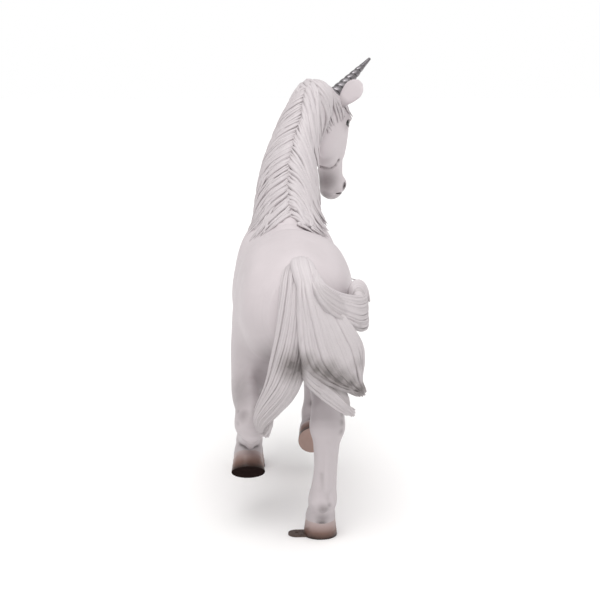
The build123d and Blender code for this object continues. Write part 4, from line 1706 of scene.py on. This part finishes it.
# Root strands start outside the clay, so that they are laid on its near side
root_lift = (0.0, 0.035, 0.020)
tip_edges = (
    (
        (-0.110, 0.640, 0.705), (-0.150, 0.635, 0.640), (-0.178, 0.620, 0.598),
        (-0.212, 0.594, 0.556),
    ),
    (
        (-0.180, 0.632, 0.690), (-0.196, 0.622, 0.645), (-0.204, 0.610, 0.600),
        (-0.214, 0.592, 0.556),
    ),
    (
        (-0.120, 0.626, 0.640), (-0.150, 0.618, 0.604), (-0.180, 0.606, 0.576),
        (-0.212, 0.590, 0.552),
    ),
)
curl_edges = (
    (
        (-0.168, 0.535, 0.858), (-0.180, 0.520, 0.904), (-0.206, 0.510, 0.912),
        (-0.228, 0.510, 0.884), (-0.232, 0.505, 0.844),
    ),
    (
        (-0.180, 0.550, 0.852), (-0.193, 0.548, 0.870), (-0.205, 0.546, 0.866),
        (-0.212, 0.542, 0.846), (-0.210, 0.538, 0.824),
    ),
)
curl_lobes = (
    ((-0.194, 0.500, 0.878), (0.030, 0.045, 0.029)),
    ((-0.211, 0.500, 0.848), (0.020, 0.050, 0.019)),
    ((-0.212, 0.500, 0.812), (0.020, 0.050, 0.018)),
    ((-0.206, 0.510, 0.779), (0.018, 0.045, 0.016)),
)
fan_edges = (
    (
        (0.000, 0.520, 0.965), (0.004, 0.605, 0.900), (0.002, 0.636, 0.800),
        (-0.004, 0.644, 0.710), (-0.020, 0.644, 0.655), (-0.062, 0.636, 0.612),
        (-0.130, 0.620, 0.580), (-0.198, 0.598, 0.552),
    ),
    (
        (-0.030, 0.520, 0.965), (-0.080, 0.605, 0.905), (-0.135, 0.630, 0.830),
        (-0.182, 0.625, 0.760), (-0.205, 0.610, 0.710), (-0.210, 0.600, 0.660),
        (-0.205, 0.595, 0.610), (-0.212, 0.585, 0.556),
    ),
)
low_edges = (
    (
        (-0.006, 0.605, 0.720), (-0.016, 0.630, 0.655), (-0.050, 0.636, 0.615),
        (-0.100, 0.628, 0.580), (-0.145, 0.615, 0.535), (-0.176, 0.602, 0.492),
    ),
    (
        (-0.004, 0.600, 0.690), (-0.012, 0.612, 0.625), (-0.036, 0.614, 0.580),
        (-0.085, 0.608, 0.540), (-0.135, 0.600, 0.500), (-0.172, 0.598, 0.484),
    ),
)


def lock_paths(rows, count, dice, twist, thick):
    """Strands that run along a lock, over its outer side."""
    rows = smooth_rows(rows, 4)
    paths = []
    for n in range(count):
        angle = math.tau * (n + dice.uniform(-0.3, 0.3)) / count
        start = dice.uniform(0.0, 0.10)
        end = dice.uniform(0.82, 1.0)
        depth = dice.uniform(0.80, 0.96)
        points = []
        for t in np.linspace(start, end, 30):
            row = along(rows, t * (len(rows) - 1))
            way = heading(rows, t * (len(rows) - 1))
            first = square_to(way, least=0.2)
            second = np.cross(way, first)
            turn = angle + twist * t + 0.22 * math.sin(5 * t + angle * 2)
            spot = (
                row[:3]
                + first * math.cos(turn) * row[3] * depth
                + second * math.sin(turn) * row[4] * depth
            )
            points.append(spot)
        paths.append(strand(points, thick * dice.uniform(0.75, 1.25)))
    return paths


def raised(points, clay, height):
    """Points moved backwards until they lie at a height over the clay."""
    points = points.copy()
    for _ in range(raising_rounds):
        points[:, 1] += np.clip(height - clay.sample(points), 0, raising_step)
    return eased(points, easing_rounds)


def sheet_paths(edges, count, dice, thick):
    """Strands spread between the two edges of a sheet of hair."""
    first = np.array(edges[0])
    last = np.array(edges[1])
    paths = []
    for n in range(count):
        share = np.clip((n + dice.uniform(-0.3, 0.3)) / (count - 1), 0, 1)
        line = first + (last - first) * share
        line[1:, 1] += dice.uniform(-0.012, 0.006)
        line[-1] += dice.uniform(-0.010, 0.010, 3)
        rows = smooth_rows(np.hstack([line, np.zeros((len(line), 2))]), 5)
        paths.append(strand(rows[:, :3], thick * dice.uniform(0.8, 1.2), tip=0.3))
    return paths


lock_room = 0.04
lock_inner_share = 0.93


def tail_clay(rows, name):
    """The body of one tail lock, under its strands."""
    low = (rows[:, :3] - rows[:, 3:].max() - lock_room).min(axis=0)
    high = (rows[:, :3] + rows[:, 3:].max() + lock_room).max(axis=0)
    clay = Clay(low, high, settings().hair_step)
    inner = rows.copy()
    inner[:, 3:] = inner[:, 3:] * lock_inner_share
    clay.chain(inner, 0.0)
    if name == "tail_middle_lock":
        clay.chain(tip_rows, 0.012)
    if name == "tail_right_lock":
        for centre, radii in curl_lobes:
            clay.ball(centre, radii, 0.008)
    return clay


# Painted shade over the whole body of hair that lies under the strands
lump_wash = 0.20
lump_wash_limit = 0.80


def lump(name, clay, nodes):
    """The body of hair under a group of strands."""
    thing, points, _, _ = cast(name, clay, "hair")
    wash = np.clip(lump_wash + tail_wash(points), 0.0, lump_wash_limit)
    shade(thing, wash=wash * settings().wash_strength)
    finish_piece(thing, nodes)


# Middle, radius and strength of each painted shadow of the tail
tail_shadows = (
    (0.020, 0.600, 0.650, 0.056, 0.98), (0.010, 0.600, 0.700, 0.032, 0.60),
    (-0.020, 0.620, 0.672, 0.038, 0.90), (-0.055, 0.620, 0.650, 0.040, 0.95),
    (-0.090, 0.620, 0.636, 0.050, 0.95), (-0.125, 0.620, 0.616, 0.048, 0.95),
    (-0.160, 0.610, 0.596, 0.040, 0.95), (-0.195, 0.600, 0.572, 0.034, 0.95),
    (0.130, 0.580, 0.500, 0.090, 0.22),
    (-0.200, 0.570, 0.742, 0.024, 0.75), (-0.180, 0.610, 0.660, 0.034, 0.45),
)


def tail_wash(points):
    """Painted shade that deepens down the tail, in its fork and low on its middle."""
    shade_of = 0.20 * np.clip((1.00 - points[:, 2]) / 0.40, 0.0, 1.0)
    for *middle, radius, strength in tail_shadows:
        away = (points - middle) * np.array([1.0, 0.5, 1.0])
        distance = np.linalg.norm(away, axis=1) / radius
        shade_of = np.maximum(shade_of, strength * np.exp(-(distance**2)))
    return shade_of


# Stage

camera_place = (0.242, 5.243, 1.690)
camera_swing = math.radians(3.0)
camera_drop = math.radians(10)
camera_lens = 87.0
sensor_width = 36.0


def white_world(strength):
    """A white backdrop for the camera and soft light for everything else."""
    world = bpy.data.worlds.new("studio")
    world.use_nodes = True
    nodes = world.node_tree.nodes
    links = world.node_tree.links
    soft = nodes["Background"]
    soft.inputs["Color"].default_value = (1.0, 0.985, 0.975, 1.0)
    soft.inputs["Strength"].default_value = strength
    white = nodes.new("ShaderNodeBackground")
    white.inputs["Color"].default_value = (1, 1, 1, 1)
    white.inputs["Strength"].default_value = 1.0
    path = nodes.new("ShaderNodeLightPath")
    mix = nodes.new("ShaderNodeMixShader")
    links.new(path.outputs["Is Camera Ray"], mix.inputs["Fac"])
    links.new(soft.outputs["Background"], mix.inputs[1])
    links.new(white.outputs["Background"], mix.inputs[2])
    links.new(mix.outputs["Shader"], nodes["World Output"].inputs["Surface"])
    bpy.context.scene.world = world


def facing_statue(swing, rise):
    """The turn of what looks at the statue from a direction round it and a height, in radians."""
    way = (math.sin(swing) * math.cos(rise), math.cos(swing) * math.cos(rise), math.sin(rise))
    return (-Vector(way)).to_track_quat("-Z", "Y").to_euler()


# Direction round the statue, height above the floor and spread in degrees, share of the power
# and colour of each lamp
lamps = {
    "key": (8.0, 56.0, 40.0, 1.0, (1.0, 0.985, 0.975)),
    "top": (-20.0, 78.0, 70.0, 0.62, (1.0, 1.0, 1.0)),
}


def soft_lamp(name, power):
    """A wide soft lamp far away."""
    swing, rise, spread, share, colour = lamps[name]
    light = bpy.data.lights.new(name, "SUN")
    light.angle = math.radians(spread)
    light.energy = power * share
    light.color = colour
    thing = bpy.data.objects.new(name, light)
    thing.rotation_euler = facing_statue(math.radians(swing), math.radians(rise))
    bpy.context.scene.collection.objects.link(thing)


floor_size = 40.0


def pale_floor():
    """A wide pale floor that keeps the shadow of the statue."""
    mesh = bpy.data.meshes.new("floor")
    corners = [(x * floor_size, y * floor_size, 0) for x, y in ((-1, -1), (1, -1), (1, 1), (-1, 1))]
    mesh.from_pydata(corners, [], [[0, 1, 2, 3]])
    floor = bpy.data.objects.new("floor", mesh)
    bpy.context.scene.collection.objects.link(floor)
    paint = Paint("floor_white")
    paint.drive("Base Color", paint.greys(paint.noise(0.6), 0.97, 0.98, 0.7))
    paint.drive("Roughness", 0.9)
    paint.drive("Specular IOR Level", 0.1)
    mesh.materials.append(paint.material)


# Add-on

def panel_length(name, description, default):
    """A length for the panel."""
    return bpy.props.FloatProperty(
        name=name, description=description, default=default, unit="LENGTH"
    )


def panel_share(name, description, default):
    """A share for the panel."""
    return bpy.props.FloatProperty(
        name=name, description=description, default=default, subtype="FACTOR"
    )


def panel_light(name, description, default):
    """A strength of light for the panel."""
    return bpy.props.FloatProperty(name=name, description=description, default=default)


def panel_count(name, description, default):
    """A whole number for the panel."""
    return bpy.props.IntProperty(name=name, description=description, default=default)


class UnicornFinish(bpy.types.PropertyGroup):
    """Values that shape the finish of the statue."""

    body_step: panel_length("Body detail", "Cell size of the sculpted body", 0.0054)
    head_step: panel_length("Head detail", "Cell size of the sculpted head", 0.003)
    hoof_step: panel_length("Hoof detail", "Cell size of the hooves", 0.0022)
    ear_step: panel_length("Ear detail", "Cell size of the ears", 0.0017)
    hair_step: panel_length("Hair detail", "Cell size of the body of the hair", 0.004)
    # Strength of all the painted shade of the skin, the ears and the hair
    wash_strength: panel_share("Wash", "Strength of the grey wash in hollows", 1.0)
    horn_pitch: panel_length("Horn pitch", "Length of one turn of the horn's spiral", 0.037)
    horn_groove: panel_share("Horn groove", "Depth of the spiral as a share of the radius", 0.15)
    left_strands: panel_count("Left mane", "Strands on the left of the neck", 84)
    right_strands: panel_count("Right mane", "Locks on the right of the neck", 62)
    poll_strands: panel_count("Poll", "Locks that fall from the poll", 44)
    forelock_strands: panel_count("Forelock", "Locks of the forelock", 20)
    tail_strands: panel_count("Tail", "Strands over the left lock of the tail", 46)
    swept_strands: panel_count("Swept lock", "Strands of the lock swept to the right", 22)
    fan_strands: panel_count("Tail fan", "Strands spread over the middle of the tail", 46)
    strand_sides: panel_count("Strand sides", "Sides of one strand", 7)
    strand_unevenness: panel_length("Unevenness", "How far strands wander", 0.004)
    seed: panel_count("Seed", "Seed of the hair", 7)
    world_light: panel_light("World light", "Strength of the light from all round", 0.60)
    key_power: panel_light("Key lamp", "Strength of the key lamp", 1.28)


def dice(extra):
    """Chance with the seed of the panel and one of its own."""
    return np.random.default_rng(settings().seed * 100 + extra)


class SculptBody(bpy.types.Operator):
    """Sculpts the painted skin of the trunk, the neck and the legs"""

    bl_idname = "unicorn.sculpt_body"
    bl_label = "Sculpt body"

    def execute(self, context):
        clay = body_clay()
        points, faces = clay.surface()
        points = relax(points, faces, body_rounds)
        cuts = [(*neck_cut, neck_cut_reach), (*head_cut, head_cut_reach)]
        seeds = {"torso": (0.2, 0.0, 0.80), "neck": (0.13, -0.47, 1.10)}
        for name, rows in leg_rows.items():
            joint = leg_joint[name]
            cuts.append((along(rows, joint)[:3], heading(rows, joint), leg_cut_reach))
            seeds[name] = along(rows, leg_coronet[name] - 3.0)[:3]
        pieces = islands(points, faces, cuts, seeds)
        torso_nodes = [
            "torso_left_shell", "torso_right_shell", "hind_left_thigh", "hind_right_thigh",
            "fore_left_forearm", "fore_right_forearm",
        ]
        skin_piece("torso_skin", clay, *pieces["torso"], torso_nodes)
        skin_piece("neck_skin", clay, *pieces["neck"], ["neck_shell"])
        for name in leg_rows:
            skin_piece(f"{name}_shank_skin", clay, *pieces[name], [f"{name}_shank"])
        return {"FINISHED"}


class SculptHead(bpy.types.Operator):
    """Sculpts the painted skin of the head"""

    bl_idname = "unicorn.sculpt_head"
    bl_label = "Sculpt head"

    def execute(self, context):
        clay = head_clay()
        points, faces = clay.surface()
        points = relax(points, faces, head_rounds)
        cuts = [(*head_cut, head_cut_reach)]
        pieces = islands(points, faces, cuts, {"head": on_head(5, 0, 1.0)})
        skin_piece("head_skin", clay, *pieces["head"], ["head_shell"])
        return {"FINISHED"}


class ShapeHooves(bpy.types.Operator):
    """Shapes the four hooves"""

    bl_idname = "unicorn.shape_hooves"
    bl_label = "Shape hooves"

    def execute(self, context):
        for name in leg_rows:
            make_hoof(name)
        return {"FINISHED"}


class ShapeEars(bpy.types.Operator):
    """Shapes both ears"""

    bl_idname = "unicorn.shape_ears"
    bl_label = "Shape ears"

    def execute(self, context):
        make_ear("ear_left", 1)
        make_ear("ear_right", -1)
        return {"FINISHED"}


class TwistHorn(bpy.types.Operator):
    """Twists the horn"""

    bl_idname = "unicorn.twist_horn"
    bl_label = "Twist horn"

    def execute(self, context):
        make_horn()
        return {"FINISHED"}


class CombMane(bpy.types.Operator):
    """Combs the mane, the poll and the forelock"""

    bl_idname = "unicorn.comb_mane"
    bl_label = "Comb mane"

    def execute(self, context):
        body = body_clay()
        head = head_clay()
        groups = (
            ("mane_left_strands", left_mane_paths(body, dice(1)), body, 1, "mane_left"),
            ("mane_right_strands", right_mane_paths(body, dice(2)), body, 2, "mane_right"),
            ("poll_strands", poll_paths(head, dice(3)), head, 3, "mane_right"),
            ("forelock_strands", forelock_paths(head, dice(4)), head, 4, "forelock"),
        )
        for name, paths, clay, seed, node in groups:
            strands = comb(name, paths, seed)
            shade_strands(strands, clay, 0.001, 0.018)
            finish_piece(strands, [node])
        return {"FINISHED"}


class CombTail(bpy.types.Operator):
    """Combs the three locks of the tail"""

    bl_idname = "unicorn.comb_tail"
    bl_label = "Comb tail"

    def execute(self, context):
        for number, (name, table) in enumerate(tail_shares.items()):
            rows = rows_of(table, lock_width)
            clay = tail_clay(rows, name)
            lump(f"{name}_body", clay, [name])
            if name == "tail_right_lock":
                paths = sheet_paths(swept_edges, settings().swept_strands, dice(10), 0.0068)
                paths += sheet_paths(curl_edges, 9, dice(17), 0.0080)
            elif name == "tail_middle_lock":
                paths = sheet_paths(fan_edges, settings().fan_strands, dice(11), 0.0088)
                paths += sheet_paths(low_edges, settings().fan_strands // 2, dice(13), 0.0080)
                lifts = dice(18)
                for path in paths:
                    path[:, :3] = raised(path[:, :3], clay, lifts.uniform(-0.0045, 0.0045))
                for path in sheet_paths(root_edges, 12, dice(19), 0.0085):
                    path[:, :3] = laid(path[:, :3] + root_lift, clay, 0.001)
                    paths.append(path)
                for extra, edges in ((16, tip_edges[:2]), (17, tip_edges[::2])):
                    paths += sheet_paths(edges, 9, dice(extra), 0.0070)
            else:
                paths = lock_paths(rows, settings().tail_strands, dice(12), 0.7, 0.0074)
                paths += sheet_paths(tuft_edges, 9, dice(15), 0.0080)
            strands = comb(f"{name}_strands", paths, 10 + number)
            shade_strands(strands, clay, -0.004, 0.010)
            finish_piece(strands, [name])
        return {"FINISHED"}


fitting_kinds = {
    "eye_left": "eye",
    "eye_right": "eye",
    "hind_mount_tab": "tab",
    "fore_mount_tab": "tab",
    "horn_socket": "steel",
    "horn_stud": "zinc",
    "tail_stud": "zinc",
    "tail_stud_nut": "zinc",
    "torso_seam_strip": "laminate",
    "rear_bulkhead": "plywood",
    "front_bulkhead": "plywood",
}


class PaintFittings(bpy.types.Operator):
    """Paints the frame pieces that keep their own shape"""

    bl_idname = "unicorn.paint_fittings"
    bl_label = "Paint fittings"

    def execute(self, context):
        for name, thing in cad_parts.items():
            kind = "steel" if name.startswith("armature") else fitting_kinds.get(name, "skin")
            if not thing.material_slots:
                thing.data.materials.append(paint_of(kind))
            for slot in thing.material_slots:
                slot.material = paint_of(kind)
        return {"FINISHED"}


class SetStage(bpy.types.Operator):
    """Sets the camera, the lamps, the floor and the backdrop"""

    bl_idname = "unicorn.set_stage"
    bl_label = "Set stage"

    def execute(self, context):
        scene = bpy.context.scene
        camera = bpy.data.cameras.new("camera")
        camera.lens = camera_lens
        camera.sensor_width = sensor_width
        holder = bpy.data.objects.new("camera", camera)
        holder.location = Vector(camera_place) + Vector(origin_shift)
        holder.rotation_euler = facing_statue(camera_swing, camera_drop)
        scene.collection.objects.link(holder)
        scene.camera = holder
        scene.view_settings.view_transform = "Standard"
        white_world(settings().world_light)
        pale_floor()
        for name in lamps:
            soft_lamp(name, settings().key_power)
        return {"FINISHED"}


steps = (
    SculptBody, SculptHead, ShapeHooves, ShapeEars, TwistHorn, CombMane, CombTail, PaintFittings,
    SetStage,
)


class UnicornPanel(bpy.types.Panel):
    """Panel with the values and the steps of the statue"""

    bl_idname = "VIEW3D_PT_unicorn"
    bl_label = "Unicorn statue"
    bl_space_type = "VIEW_3D"
    bl_region_type = "UI"
    bl_category = "Unicorn"

    def draw(self, context):
        for name in UnicornFinish.__annotations__:
            self.layout.prop(settings(), name)
        for step in steps:
            self.layout.operator(step.bl_idname)


def register():
    """Adds the values, the steps and the panel."""
    for kind in (UnicornFinish, *steps, UnicornPanel):
        bpy.utils.register_class(kind)
    bpy.types.Scene.unicorn_finish = bpy.props.PointerProperty(type=UnicornFinish)


def unregister():
    """Takes the panel, the steps and the values away."""
    del bpy.types.Scene.unicorn_finish
    for kind in (UnicornPanel, *reversed(steps), UnicornFinish):
        bpy.utils.unregister_class(kind)


def main():
    """Builds the whole finish."""
    register()
    bpy.ops.unicorn.sculpt_body()
    bpy.ops.unicorn.sculpt_head()
    bpy.ops.unicorn.shape_hooves()
    bpy.ops.unicorn.shape_ears()
    bpy.ops.unicorn.twist_horn()
    bpy.ops.unicorn.comb_mane()
    bpy.ops.unicorn.comb_tail()
    bpy.ops.unicorn.paint_fittings()
    bpy.ops.unicorn.set_stage()


if __name__ == "__main__":
    main()
